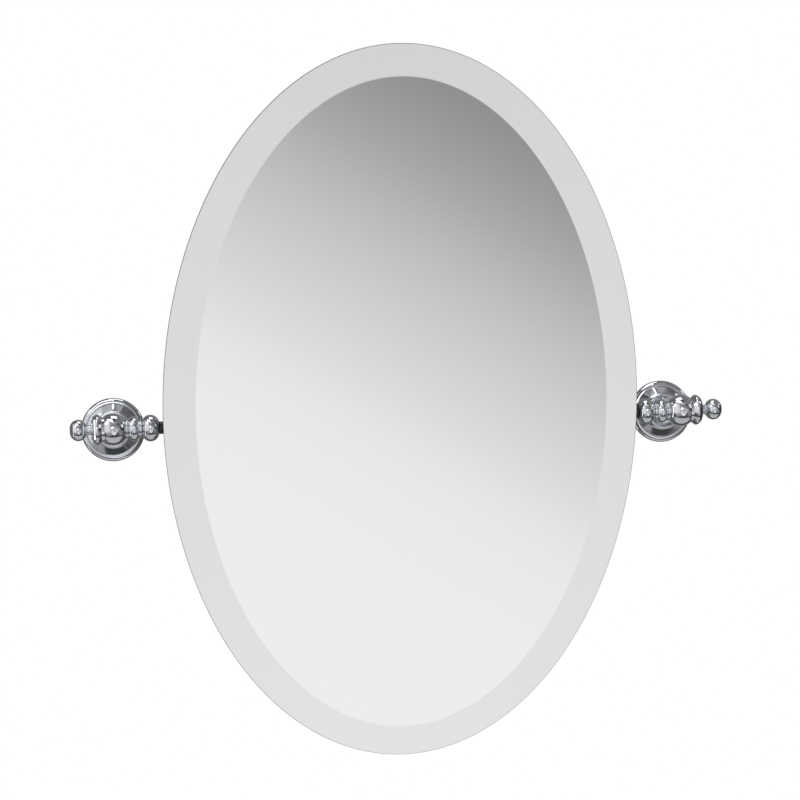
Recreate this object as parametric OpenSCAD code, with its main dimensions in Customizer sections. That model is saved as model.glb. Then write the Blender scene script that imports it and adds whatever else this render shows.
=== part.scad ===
// Oval bevelled mirror that tilts between two turned wall brackets.
// X runs across the mirror, Z runs up, and the wall is the plane Y = 0. The mirror faces -Y.
// The origin lies on the wall, midway between the four wall screw holes.
// "Left" is the side of negative X, and each turned piece is drawn along its own axis.

/* [Mirror glass] */
// Width of the oval glass
glass_w = 400; // [320:5:500]
// Height of the oval glass
glass_h = 606; // [480:2:700]
// Thickness of the glass
glass_t = 5; // [4:0.5:6]
// Width of the bevelled border, the same all round
bevel_w = 26.5; // [12:0.5:35]
// Thickness that the bevel leaves at the rim
rim_t = 3; // [2:0.25:3.5]
// Ground chamfer along the rim's two edges
arris = 0.5; // [0.2:0.1:0.8]

/* [Backing board] */
// Thickness of the backing board
board_t = 9; // [8:0.5:12]
// Distance from the glass rim in to the board's rim
board_inset = 10; // [8:0.5:16]
// Chamfer along the board's rear edge
board_chamfer = 4; // [1:0.5:6]
// Thickness of the foam tape between glass and board
tape_t = 1; // [0.8:0.1:2]
// Width of one strip of foam tape
tape_w = 25; // [12:1:30]
// Number of strips of foam tape
tape_count = 4; // [2:1:4]
// Distance between the centre lines of neighbouring strips
tape_pitch = 70; // [40:1:80]
// Distance from the ends of the strips to the board's rim
tape_end_gap = 24; // [10:1:40]

/* [Pivot] */
// How far the glass leans forward at the top in the rest position, in degrees
rest_tilt = 12; // [0:0.5:12.5]
// Height of the middle of the glass above the pivot axis
centre_rise = 10; // [0:0.5:12]
// Depth of the pivot axis inside the backing board, from the board's front
axis_depth = 6; // [5.6:0.1:7]
// Radius of the pivot stud
stud_r = 4; // [3:0.25:4.25]
// Length of stud screwed into the lug
stud_grip = 24; // [16:1:30]
// Length of stud screwed into the finial knob
knob_grip = 8.5; // [5:0.25:8.75]

/* [Bracket] */
// Distance from the wall to the pivot axis
standoff = 70; // [66:0.5:90]
// Distance from the glass rim out to the middle of the pivot ball
arm_reach = 41; // [38:0.5:55]
// Radius of the pivot ball
ball_r = 13.4; // [12.8:0.1:15]
// Distance from the middle of the ball to its flat towards the mirror
ball_flat_in = 10.3; // [9.5:0.1:10.8]
// Distance from the middle of the ball to its flat towards the knob
ball_flat_out = 7; // [6.5:0.1:9]
// Distance from the middle of the ball to its seat on the post
ball_seat = 12; // [11.4:0.1:12.2]

/* [Beaded sleeve] */
// Radius of the end ring beside the ball
end_ring_r = 8.4; // [7.5:0.1:9]
// Width of the end ring
end_ring_w = 2.2; // [1.4:0.1:3]
// Radius of the small bead
small_bead_r = 10.1; // [9:0.1:11]
// Width of the small bead
small_bead_w = 9.2; // [6:0.1:10]
// Radius of the ring between the two beads
mid_ring_r = 7.6; // [6.8:0.1:8]
// Width of the ring between the two beads
mid_ring_w = 1.8; // [1:0.1:2.4]
// Radius of the large bead
large_bead_r = 11.1; // [9.5:0.1:12]
// Width of the large bead
large_bead_w = 14.4; // [10:0.1:15]
// Radius of the neck that ends at the mirror
neck_r = 5.2; // [5:0.1:5.4]

/* [Finial knob] */
// Radius of the grip ring
grip_r = 12.9; // [11:0.1:14]
// Radius of the knob's collar next to the ball
grip_collar_r = 10.3; // [9.6:0.1:10.6]
// Width of that collar
grip_collar_w = 2.1; // [1.6:0.1:2.8]
// Width of the grip ring
grip_w = 7.4; // [6:0.1:7.8]
// Radius that rounds the grip ring's crest
grip_round = 2.2; // [1.4:0.1:3]
// Slope of the grip ring's two flanks, in degrees
grip_slope = 35; // [24:1:42]
// Radius of the step ring
step_r = 8.2; // [7:0.1:9.4]
// Width of the step ring
step_w = 1.2; // [1:0.1:2]
// Radius of the knob's neck
finial_neck_r = 3.3; // [2.5:0.1:3.6]
// Length of the knob's neck
finial_neck_l = 3.6; // [2.4:0.1:6]
// Radius of the two small beads on the neck
neck_bead_r = 4.3; // [4:0.1:5]
// Radius of the finial
finial_r = 8.9; // [7.5:0.1:10]
// Half the length of the finial along its axis
finial_half_l = 7; // [6:0.1:7.5]

/* [Flange cover] */
// Radius of the flange cover at the wall
flange_r = 27.2; // [26:0.1:32]
// Width of the rounded rim
rim_bead_w = 4.2; // [3.2:0.1:4.4]
// Height of the rounded rim
rim_bead_h = 5.2; // [4.6:0.1:6]
// Radius of the boss ring's crest
boss_crest_r = 14.2; // [13.6:0.1:15]
// Height of the boss ring above the wall
boss_h = 15.4; // [14.8:0.1:17]
// Height of the cone's upper edge above the wall
cone_top_h = 6.4; // [6.1:0.1:7.4]
// Thickness of the cover's wall
cover_t = 1.3; // [1:0.1:1.6]

/* [Post and wall plate] */
// Gap between the wall plate's edge and the inside of the cover
plate_gap = 1; // [0.6:0.1:3]
// Thickness of the wall plate
plate_t = 3; // [2:0.1:3.4]
// Distance between the two screw holes of a plate
screw_pitch = 28; // [26:0.5:29]
// Radius of the wall screw holes
screw_hole_r = 2.5; // [2:0.1:2.75]
// Radius of the plate's boss and of the post's foot
boss_r = 7.5; // [6.5:0.1:8.5]
// Height of the plate's boss above the wall
boss_top = 10; // [8:0.5:11]
// Radius of the post at its thinnest
post_r = 4.6; // [4:0.1:6]
// Radius of the post's end where it meets the ball
post_end_r = 6.2; // [5.6:0.1:6.4]
// Radius of the post's two screwed ends
spigot_r = 4; // [3:0.1:4]
// Length of the screwed end inside the wall plate's boss
spigot_l = 7.5; // [4:0.1:7.5]
// Length of the screwed end inside the ball
pin_l = 5.4; // [4:0.1:5.6]

/* [Lug and screws] */
// Length of the lug's plate
lug_l = 52; // [48:1:70]
// Height of the lug's plate
lug_w = 30; // [28:0.5:40]
// Thickness of the lug's plate
lug_t = 3; // [2:0.1:4]
// Height of the lug's block, which lies in the board's slot
block_w = 12; // [11.5:0.1:13]
// Distance from the glass rim in to the lug's end
lug_setback = 1; // [0.5:0.1:2]
// Radius of the lug's round nose
nose_r = 5.4; // [5.2:0.1:5.5]
// Radius of the lug screws' shanks
lug_screw_r = 1.75; // [1.25:0.05:2]
// Length of the lug screws below the head
lug_screw_l = 10; // [7:0.5:10.5]
// Distance from the ends of the lug's plate to its screws
lug_screw_end = 7; // [5:0.25:10]
// Distance from the long edges of the lug's plate to its screws
lug_screw_edge = 5.25; // [4.5:0.25:6]
// Radius of the grub screws that lock the covers
grub_r = 1.5; // [1:0.1:1.6]

/* [Bushes and washers] */
// Wall thickness of the nylon bushes
bush_wall = 1; // [0.8:0.05:1.25]
// Radius of the bushes' flanges
bush_flange_r = 6.5; // [6.2:0.1:6.8]
// Thickness of the bushes' flanges
bush_flange_t = 1; // [0.6:0.1:1.4]
// Length of a bush, its flange included
bush_l = 7; // [5:0.1:7.5]
// Radius of the spring washer
washer_r = 7; // [6:0.1:8]
// Thickness of the spring washer's metal
washer_t = 0.6; // [0.4:0.05:0.8]
// Height of the spring washer's cone
washer_cone_h = 0.4; // [0.2:0.05:0.5]

/* [Hidden] */

LEFT = -1;
RIGHT = 1;
chrome = [0.74, 0.76, 0.79];
zinc = [0.62, 0.64, 0.65];
nylon = [0.93, 0.92, 0.88];

$fn = 96;
// Number of flats that the oval outline is drawn with
oval_flats = 144;
// A cut runs this far past the face that it goes through
past = 1;

// Clearances
running_gap = 0.05; // on the radius, where a piece turns on another
axial_gap = 0.1; // between the end faces of pieces that turn against each other
fixed_gap = 0.02; // on the radius, where a piece is screwed or pressed in
slide_gap = 0.1; // on the radius, where a piece slides on or lies in a recess
slot_gap = 0.3; // on each side of the lug's block in the board
end_gap = 0.4; // past the end of a screw or stud in its blind hole

// The mirror's own frame: the pivot axis is X, and the glass is parallel to XZ
glass_a = glass_w / 2;
glass_b = glass_h / 2;
board_front = -axis_depth;
board_back = board_front + board_t;
glass_back = board_front - tape_t;
glass_front = glass_back - glass_t;
glass_rim = glass_back - rim_t;

// Stations along the pivot axis, measured outward from the middle of the ball
bracket_x = glass_a + arm_reach;
lug_end = -(arm_reach + lug_setback);
stud_in = lug_end - stud_grip;
sleeve_out = -(ball_flat_in + axial_gap);
small_bead_out = sleeve_out - end_ring_w;
mid_ring_out = small_bead_out - small_bead_w;
large_bead_out = mid_ring_out - mid_ring_w;
neck_out = large_bead_out - large_bead_w;
knob_in = ball_flat_out + axial_gap;
stud_out = knob_in + knob_grip;
grip_in = knob_in + grip_collar_w;
step_in = grip_in + grip_w;
finial_neck_in = step_in + step_w;
finial_in = finial_neck_in + finial_neck_l;
finial_mid = finial_in + finial_half_l;

// Lug, seen from behind on the right side
nose_root = 2; // the round nose starts this far inside the board's rim
nose_l = board_inset - lug_setback + nose_root;
lug_x_out = glass_a - lug_setback;
lug_x_in = lug_x_out - nose_l - lug_l;
lug_x_mid = lug_x_in + lug_l / 2;
block_setback = 0.5; // from the board's front face to the block's
screw_head_r = 1.9 * lug_screw_r;
screw_head_h = 1.1 * lug_screw_r;
recess_l = 1.1 * screw_head_r; // the arms of the cross in a screw's head
recess_w = 0.4 * lug_screw_r;
recess_d = screw_head_h / 2;

// Sleeve and knob
ring_swell = 0.6; // a plain ring's crest stands this far above its two edges
step_swell = 0.3 * step_w; // the same, for the knob's step ring
grip_crest_turn = grip_slope - 3; // the crest stops just short of the flanks' slope
grip_crest_w = 2 * grip_round * sin(grip_crest_turn);
grip_crest_edge_r = grip_r - grip_round * (1 - cos(grip_crest_turn));
grip_edge_r = grip_crest_edge_r - (grip_w - grip_crest_w) / 2 * tan(grip_slope);
neck_bead_w = finial_neck_l / 3;
knob_bore_l = knob_grip + end_gap;
washer_seat = knob_in + washer_t + washer_cone_h - axial_gap + running_gap;

// Ball and bushes
bush_bore_r = stud_r + running_gap;
bush_r = bush_bore_r + bush_wall;
post_top = standoff - ball_seat;

// Post, with heights measured from the wall
foot_end = boss_top + 6.5; // the plain foot lies inside the cover
foot_bead_w = 3;
foot_bead_r = boss_r + 1.2;
waist_start = foot_end + foot_bead_w;
waist_foot_r = boss_r - 0.8;
waist_taper_l = 7.5;
post_ring_w = 2.4;
post_ring_r = post_end_r + 1.1;
post_ring_start = post_top - 2 * post_ring_w;
post_ring_end = post_top - post_ring_w;
waist_flare_l = 2; // the waist widens over this length below the ring
waist_flare_r = post_end_r - 0.6;

// The flange cover's profile, with heights measured from the wall
groove_w = 0.7;
groove_h = rim_bead_h - 1.6;
rim_round_h = rim_bead_h - rim_bead_w;
cone_foot_r = flange_r - rim_bead_w - groove_w;
boss_bead_r = 1.9; // rounding of the boss ring's crest
boss_bead_mid_h = boss_h - boss_bead_r;
boss_out_r = boss_crest_r + boss_bead_r;
cone_top_r = boss_out_r + 0.1;
cone_lip_h = cone_top_h + 0.6;
dish_h = boss_h - 2;
collar_h = boss_h - 1;
collar_r = boss_r + slide_gap + 2; // the cover's inner collar round the post
collar_root_r = collar_r + 1;
grub_h = boss_bead_mid_h - 1.3 * grub_r;

// The hollow of the cover, and the wall plate that lies in it
mouth_r = cone_foot_r - 0.4;
mouth_h = groove_h - cover_t;
roof_r = cone_top_r - cover_t;
roof_h = cone_top_h - cover_t;
roof_slope = (mouth_r - roof_r) / (roof_h - mouth_h);
plate_r = mouth_r - max(0, plate_t - mouth_h) * roof_slope - plate_gap;

// ---------------------------------------------------------------------------
// Placing

// Stands a turned piece on the pivot axis of one bracket: its Z points away from the mirror.
module on_pivot(side) {
    translate([side * bracket_x, -standoff, 0])
        rotate([0, side * 90, 0])
            children();
}

// Stands a turned piece on the wall at one bracket: its Z points away from the wall.
module on_wall(side) {
    translate([side * bracket_x, 0, 0])
        rotate([90, 0, 0])
            children();
}

// Hangs the mirror's pieces on the pivot axis, leaning forward at the top.
module on_mirror() {
    translate([0, -standoff, 0])
        rotate([rest_tilt, 0, 0])
            children();
}

// Puts a piece that is drawn for the right side on either side of the mirror.
module on_side(side) {
    if (side == RIGHT) {
        children();
    } else {
        mirror([1, 0, 0]) children();
    }
}

// ---------------------------------------------------------------------------
// Oval shapes

// A point of the oval with half axes a and b, moved in by inset along the outline's normal.
function oval_point(a, b, inset, angle) =
    let (n = [b * cos(angle), a * sin(angle)])
    [a * cos(angle), b * sin(angle)] - inset * n / norm(n);

// The oval outline, moved in by inset.
function oval(inset) = [
    for (i = [0 : oval_flats - 1])
        oval_point(glass_a, glass_b, inset, 360 * i / oval_flats)
];

// A slab with the mirror's outline. Each level is [inset, y], from the rear face to the front face.
module oval_slab(levels) {
    n = oval_flats;
    last = len(levels) - 1;
    points = [
        for (level = levels)
            for (p = oval(level[0]))
                [p[0], level[1], p[1] + centre_rise]
    ];
    walls = [
        for (k = [0 : last - 1])
            for (i = [0 : n - 1])
                let (a = k * n + i, b = k * n + (i + 1) % n)
                each [[a, b, b + n], [a, b + n, a + n]]
    ];
    rear = [[for (i = [n - 1 : -1 : 0]) i]];
    front = [[for (i = [0 : n - 1]) last * n + i]];
    polyhedron(points = points, faces = concat(walls, rear, front), convexity = 4);
}

// ---------------------------------------------------------------------------
// Turned profiles. X is the radius and Y runs along the axis.

// A plain length of a turned piece.
module turned_length(r, from, to) {
    translate([0, from])
        square([r, to - from]);
}

// A bead that swells from end_r to crest_r and back over the given length.
module bead(crest_r, end_r, from, to) {
    half = (to - from) / 2;
    swell = crest_r - end_r;
    arc_r = (half * half + swell * swell) / (2 * swell);
    translate([0, from + half]) {
        intersection() {
            translate([crest_r - arc_r, 0])
                circle(r = arc_r);
            translate([0, -half])
                square([crest_r + past, 2 * half]);
        }
        translate([0, -half])
            square([end_r, 2 * half]);
    }
}

// ---------------------------------------------------------------------------
// Mirror

module mirror_glass() {
    color("lightsteelblue")
        on_mirror()
            oval_slab([
                [arris, glass_back],
                [0, glass_back - arris],
                [0, glass_rim + arris],
                [arris, glass_rim],
                [bevel_w, glass_front],
            ]);
}

// Half the height of the board at a distance x from its middle.
function board_half_height(x) =
    (glass_b - board_inset) * sqrt(1 - pow(x / (glass_a - board_inset), 2));

module foam_tape() {
    color([0.85, 0.85, 0.82])
        on_mirror()
            for (i = [0 : tape_count - 1]) {
                x = (i - (tape_count - 1) / 2) * tape_pitch;
                half_h = board_half_height(abs(x) + tape_w / 2) - tape_end_gap;
                translate([x - tape_w / 2, glass_back, centre_rise - half_h])
                    cube([tape_w, tape_t, 2 * half_h]);
            }
}

// The pattern of the lug's screws, about the middle of its plate, on the right side.
module at_lug_screws() {
    span_x = lug_l / 2 - lug_screw_end;
    span_z = lug_w / 2 - lug_screw_edge;
    for (x = [-span_x, span_x]) {
        for (z = [-span_z, span_z]) {
            translate([lug_x_mid + x, 0, z])
                children();
        }
    }
}

module backing_board() {
    color([0.13, 0.12, 0.12])
        on_mirror()
            difference() {
                oval_slab([
                    [board_inset + board_chamfer, board_back],
                    [board_inset, board_back - board_chamfer],
                    [board_inset, board_front],
                ]);
                for (side = [LEFT, RIGHT]) {
                    on_side(side)
                        lug_cuts();
                }
            }
}

// The slot for the lug's block and the pilot holes of its screws.
module lug_cuts() {
    slot_w = block_w + 2 * slot_gap;
    translate([lug_x_in - slot_gap, board_front - past, -slot_w / 2])
        cube([glass_a, board_t + 2 * past, slot_w]);
    at_lug_screws()
        translate([0, board_back + past, 0])
            rotate([90, 0, 0])
                cylinder(r = lug_screw_r + fixed_gap, h = past + lug_screw_l - lug_t + end_gap);
}

// ---------------------------------------------------------------------------
// Pieces that carry the mirror and turn with it

module lug(side) {
    block_front = board_front + block_setback;
    color(zinc)
        on_mirror()
            on_side(side)
                difference() {
                    union() {
                        translate([lug_x_in, board_back, -lug_w / 2])
                            cube([lug_l, lug_t, lug_w]);
                        translate([lug_x_in, block_front, -block_w / 2])
                            cube([lug_l, board_back - block_front + lug_t / 2, block_w]);
                        translate([lug_x_in + lug_l - past, 0, 0])
                            rotate([0, 90, 0])
                                cylinder(r = nose_r, h = nose_l + past);
                    }
                    translate([lug_x_out + past, 0, 0])
                        rotate([0, -90, 0])
                            cylinder(r = stud_r + fixed_gap, h = past + stud_grip + end_gap);
                    at_lug_screws()
                        translate([0, board_back - past, 0])
                            rotate([-90, 0, 0])
                                cylinder(r = lug_screw_r + slide_gap, h = lug_t + 2 * past);
                }
}

module lug_screws(side) {
    color("silver")
        on_mirror()
            on_side(side)
                at_lug_screws()
                    translate([0, board_back + lug_t, 0])
                        rotate([90, 0, 0])
                            difference() {
                                union() {
                                    cylinder(r = lug_screw_r, h = lug_screw_l);
                                    translate([0, 0, -screw_head_h])
                                        cylinder(r = screw_head_r, h = screw_head_h);
                                }
                                for (turn = [0, 90]) {
                                    rotate([0, 0, turn])
                                        translate([-recess_l / 2, -recess_w / 2, -screw_head_h - past])
                                            cube([recess_l, recess_w, recess_d + past]);
                                }
                            }
}

module stud(side) {
    color("silver")
        on_pivot(side)
            translate([0, 0, stud_in])
                cylinder(r = stud_r, h = stud_out - stud_in);
}

module sleeve(side) {
    color(chrome)
        on_pivot(side)
            difference() {
                rotate_extrude() {
                    turned_length(neck_r, lug_end, neck_out);
                    bead(large_bead_r, neck_r, neck_out, large_bead_out);
                    bead(mid_ring_r, mid_ring_r - ring_swell, large_bead_out, mid_ring_out);
                    bead(small_bead_r, mid_ring_r - ring_swell, mid_ring_out, small_bead_out);
                    bead(end_ring_r, end_ring_r - ring_swell, small_bead_out, sleeve_out);
                }
                translate([0, 0, lug_end - past])
                    cylinder(r = stud_r + running_gap, h = sleeve_out - lug_end + 2 * past);
            }
}

// A coned washer that presses the knob and the outer bush apart. Its rim bears on the knob.
module spring_washer(side) {
    inner_r = stud_r + slide_gap;
    color("silver")
        on_pivot(side)
            rotate_extrude()
                polygon([
                    [inner_r, washer_seat - washer_t - washer_cone_h],
                    [washer_r, washer_seat - washer_t],
                    [washer_r, washer_seat],
                    [inner_r, washer_seat - washer_cone_h],
                ]);
}

module finial_knob(side) {
    color(chrome)
        on_pivot(side)
            difference() {
                rotate_extrude() {
                    turned_length(grip_collar_r, knob_in, grip_in + past);
                    grip_profile();
                    bead(step_r, step_r - step_swell, step_in, finial_neck_in);
                    turned_length(finial_neck_r, finial_neck_in - past, finial_mid);
                    bead(neck_bead_r, finial_neck_r, finial_neck_in, finial_neck_in + neck_bead_w);
                    bead(neck_bead_r, finial_neck_r, finial_in - neck_bead_w, finial_in);
                    finial_profile();
                }
                translate([0, 0, knob_in - past])
                    cylinder(r = stud_r + running_gap, h = past + knob_bore_l);
                translate([0, 0, knob_in - past])
                    cylinder(r = washer_r + slide_gap, h = past + washer_seat - knob_in);
            }
}

// The grip ring: two sloping flanks that meet in a rounded crest.
module grip_profile() {
    translate([0, grip_in + grip_w / 2]) {
        intersection() {
            translate([grip_r - grip_round, 0])
                circle(r = grip_round);
            translate([0, -grip_crest_w / 2])
                square([grip_r + past, grip_crest_w]);
        }
        polygon([
            [0, -grip_w / 2],
            [grip_edge_r, -grip_w / 2],
            [grip_crest_edge_r, -grip_crest_w / 2],
            [grip_crest_edge_r, grip_crest_w / 2],
            [grip_edge_r, grip_w / 2],
            [0, grip_w / 2],
        ]);
    }
}

// The finial: a ball that is a little shorter along its axis than across.
module finial_profile() {
    flat_r = finial_r - finial_half_l;
    translate([0, finial_in])
        square([flat_r, 2 * finial_half_l]);
    intersection() {
        translate([flat_r, finial_mid])
            circle(r = finial_half_l);
        translate([0, finial_in])
            square([finial_r + past, 2 * finial_half_l]);
    }
}

// ---------------------------------------------------------------------------
// Fixed bracket

module ball(side) {
    color(chrome)
        difference() {
            on_pivot(side)
                rotate_extrude()
                    ball_profile();
            on_wall(side) {
                translate([-ball_r, -ball_r, post_top - ball_r])
                    cube([2 * ball_r, 2 * ball_r, ball_r]);
                translate([0, 0, post_top - past])
                    cylinder(r = spigot_r + fixed_gap, h = past + pin_l + end_gap);
            }
        }
}

// The ball with its two flats, its cross bore and a recess in each flat for a bush's flange.
module ball_profile() {
    difference() {
        intersection() {
            circle(r = ball_r);
            translate([bush_r + fixed_gap, -ball_flat_in])
                square([ball_r, ball_flat_in + ball_flat_out]);
        }
        translate([0, ball_flat_out - bush_flange_t])
            square([bush_flange_r + fixed_gap, ball_r]);
        translate([0, bush_flange_t - ball_flat_in - ball_r])
            square([bush_flange_r + fixed_gap, ball_r]);
    }
}

// A flanged bush whose flange ends flush with one flat of the ball.
module bush(side, flat, inward) {
    color(nylon)
        on_pivot(side)
            translate([0, 0, flat])
                rotate([inward * 180, 0, 0])
                    rotate_extrude() {
                        translate([bush_bore_r, -bush_l])
                            square([bush_wall, bush_l]);
                        translate([bush_bore_r, -bush_flange_t])
                            square([bush_flange_r - bush_bore_r, bush_flange_t]);
                    }
}

// The post: a screwed end, a plain foot, a bead, a slim waist, a ring and the end that carries the ball.
module post(side) {
    color(chrome)
        on_wall(side)
            rotate_extrude() {
                turned_length(spigot_r, boss_top - spigot_l, boss_top + past);
                turned_length(boss_r, boss_top, foot_end);
                bead(foot_bead_r, boss_r, foot_end, waist_start);
                polygon([
                    [0, waist_start],
                    [waist_foot_r, waist_start],
                    [post_r, waist_start + waist_taper_l],
                    [post_r, post_ring_start - waist_flare_l],
                    [waist_flare_r, post_ring_start],
                    [0, post_ring_start],
                ]);
                bead(post_ring_r, post_end_r, post_ring_start, post_ring_end);
                turned_length(post_end_r, post_ring_end, post_top);
                turned_length(spigot_r, post_top - past, post_top + pin_l);
            }
}

module flange_cover(side) {
    color(chrome)
        on_wall(side)
            difference() {
                rotate_extrude()
                    difference() {
                        cover_outside();
                        cover_inside();
                        translate([0, -past])
                            square([boss_r + slide_gap, boss_h + 2 * past]);
                    }
                translate([0, 0, grub_h])
                    rotate([90, 0, 0])
                        cylinder(r = grub_r + fixed_gap, h = flange_r);
            }
}

// Rounded rim, groove, cone, boss ring and inner collar.
module cover_outside() {
    polygon([
        [0, 0],
        [flange_r, 0],
        [flange_r, rim_round_h],
        [flange_r - rim_bead_w, rim_round_h],
        [flange_r - rim_bead_w, groove_h],
        [cone_foot_r, groove_h],
        [cone_top_r, cone_top_h],
        [boss_out_r, cone_lip_h],
        [boss_out_r, boss_bead_mid_h],
        [boss_crest_r - boss_bead_r, boss_bead_mid_h],
        [boss_crest_r - boss_bead_r, dish_h],
        [collar_r, dish_h],
        [collar_r, collar_h],
        [0, collar_h],
    ]);
    translate([flange_r - rim_bead_w, rim_round_h])
        intersection() {
            circle(r = rim_bead_w);
            square(rim_bead_w);
        }
    translate([boss_crest_r, boss_bead_mid_h])
        circle(r = boss_bead_r);
}

// The hollow behind the cover, which clears the wall plate and the heads of the wall screws.
module cover_inside() {
    polygon([
        [0, -past],
        [mouth_r, -past],
        [mouth_r, mouth_h],
        [roof_r, roof_h],
        [collar_root_r, roof_h],
        [collar_root_r, roof_h - cover_t],
        [0, roof_h - cover_t],
    ]);
}

module grub_screw(side) {
    socket_r = 0.6 * grub_r;
    color("silver")
        on_wall(side)
            translate([0, 0, grub_h])
                rotate([90, 0, 0])
                    difference() {
                        translate([0, 0, boss_r])
                            cylinder(r = grub_r, h = boss_crest_r - boss_r);
                        translate([0, 0, boss_crest_r - grub_r])
                            cylinder(r = socket_r, h = grub_r + past, $fn = 6);
                    }
}

module wall_plate(side) {
    color(zinc)
        on_wall(side)
            difference() {
                union() {
                    cylinder(r = plate_r, h = plate_t);
                    cylinder(r = boss_r, h = boss_top);
                }
                translate([0, 0, boss_top - spigot_l - end_gap])
                    cylinder(r = spigot_r + fixed_gap, h = boss_top);
                for (z = [-screw_pitch / 2, screw_pitch / 2]) {
                    translate([0, z, -past])
                        cylinder(r = screw_hole_r, h = plate_t + 2 * past);
                }
            }
}

// ---------------------------------------------------------------------------

mirror_glass();
foam_tape();
backing_board();

lug(LEFT);  // left_lug
lug_screws(LEFT);  // left_lug_screws
stud(LEFT);  // left_stud
sleeve(LEFT);  // left_sleeve
spring_washer(LEFT);  // left_spring_washer
finial_knob(LEFT);  // left_finial_knob
ball(LEFT);  // left_ball
bush(LEFT, -ball_flat_in, 1);  // left_inner_bush
bush(LEFT, ball_flat_out, 0);  // left_outer_bush
post(LEFT);  // left_post
flange_cover(LEFT);  // left_flange_cover
grub_screw(LEFT);  // left_grub_screw
wall_plate(LEFT);  // left_wall_plate

lug(RIGHT);  // right_lug
lug_screws(RIGHT);  // right_lug_screws
stud(RIGHT);  // right_stud
sleeve(RIGHT);  // right_sleeve
spring_washer(RIGHT);  // right_spring_washer
finial_knob(RIGHT);  // right_finial_knob
ball(RIGHT);  // right_ball
bush(RIGHT, -ball_flat_in, 1);  // right_inner_bush
bush(RIGHT, ball_flat_out, 0);  // right_outer_bush
post(RIGHT);  // right_post
flange_cover(RIGHT);  // right_flange_cover
grub_screw(RIGHT);  // right_grub_screw
wall_plate(RIGHT);  // right_wall_plate
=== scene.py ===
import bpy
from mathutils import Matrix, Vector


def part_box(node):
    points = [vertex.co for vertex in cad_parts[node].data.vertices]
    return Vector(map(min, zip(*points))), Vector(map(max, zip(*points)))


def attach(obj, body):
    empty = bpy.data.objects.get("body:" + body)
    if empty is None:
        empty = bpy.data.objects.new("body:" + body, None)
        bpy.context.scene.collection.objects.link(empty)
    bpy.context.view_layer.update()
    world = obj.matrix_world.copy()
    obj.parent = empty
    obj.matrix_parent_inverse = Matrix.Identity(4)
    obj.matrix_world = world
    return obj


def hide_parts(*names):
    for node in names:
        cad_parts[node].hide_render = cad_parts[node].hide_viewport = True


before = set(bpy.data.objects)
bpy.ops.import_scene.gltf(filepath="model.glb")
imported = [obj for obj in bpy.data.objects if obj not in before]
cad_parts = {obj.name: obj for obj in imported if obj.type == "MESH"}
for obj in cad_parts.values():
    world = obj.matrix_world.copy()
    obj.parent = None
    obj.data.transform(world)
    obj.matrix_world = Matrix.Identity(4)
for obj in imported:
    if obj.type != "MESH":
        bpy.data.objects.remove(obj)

"""Looks of the pivot wall mirror: a bevelled oval glass between two turned and chromed wall brackets.

Every length in a dataclass is in millimetres, as in the part's source, and every mesh is in metres.
X runs across the mirror, Z runs up, the wall is Y = 0 and the mirror faces -Y. A turned piece is
drawn by stations along its own axis: outward from the middle of its ball for what sits on the pivot
axis, and away from the wall for what stands on the wall.
"""

import logging
import math
from dataclasses import dataclass, field
from enum import Enum
from typing import Callable, Iterable, Sequence

import bmesh
import bpy
from mathutils import Matrix, Vector

logging.basicConfig(level=logging.INFO, format="%(name)s: %(message)s")
log = logging.getLogger("mirror")

# A point of a section, and two numbers that belong together, such as the ends of a range.
Point = tuple[float, float]
Pair = tuple[float, float]
Colour = tuple[float, float, float]
Socket = bpy.types.NodeSocket
Thing = bpy.types.Object

MM = 0.001
WHITE = (1.0, 1.0, 1.0, 1.0)

# How far a cutter or an addition runs past a face, in millimetres.
OVERRUN = 1.0
# An edge that turns by more than this stays crisp.
CRISP = math.radians(30.0)
# Points of a mesh that are nearer than this, in metres, become one.
ONE_POINT = 1e-7


class Side(Enum):
    """The two brackets, with the sign of X that each one stands at."""

    LEFT = -1
    RIGHT = 1

    @property
    def label(self) -> str:
        """The side's name as it starts the names of its pieces."""
        return self.name.lower()


class Body(Enum):
    """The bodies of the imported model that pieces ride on."""

    WALL_BRACKETS = "wall_brackets"
    MIRROR = "mirror"
    LEFT_KNOB = "left_knob"
    RIGHT_KNOB = "right_knob"


class Slot(Enum):
    """The record's material slots."""

    SILVERED_GLASS = "silvered_glass"
    CHROME_PLATE = "chrome_plate"
    ZINC_PLATE = "zinc_plate"
    SCREW_STEEL = "screw_steel"
    PAINTED_BOARD = "painted_board"
    FOAM = "foam"
    NYLON = "nylon"


class Grain(Enum):
    """How a surface's fine structure is drawn."""

    POLISHED = "fine, even noise of a polished surface"
    SPANGLE = "flat crystals of a zinc coat"
    FIBRE = "short felted fibres of pressed board"
    CELLS = "closed bubbles of foam"
    MOULDED = "soft waves of a moulded plastic"


class Combining(Enum):
    """Ways to combine two solids, by Blender's names."""

    CUT = "DIFFERENCE"
    WELD = "UNION"


def about(axis: str, degrees: float) -> Matrix:
    """Returns a turn about an axis."""
    return Matrix.Rotation(math.radians(degrees), 4, axis)


def shift(x: float, y: float, z: float) -> Matrix:
    """Returns a move given in millimetres."""
    return Matrix.Translation((x * MM, y * MM, z * MM))


def grey(level: float) -> tuple[float, float, float, float]:
    """Returns a plain grey of a level."""
    return (level, level, level, 1.0)


# ---------------------------------------------------------------------------
# Finishes


# The Mix node's sockets for two colours and their mixture, by number.
MIX_FIRST, MIX_SECOND, MIXED = 6, 7, 2


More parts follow.
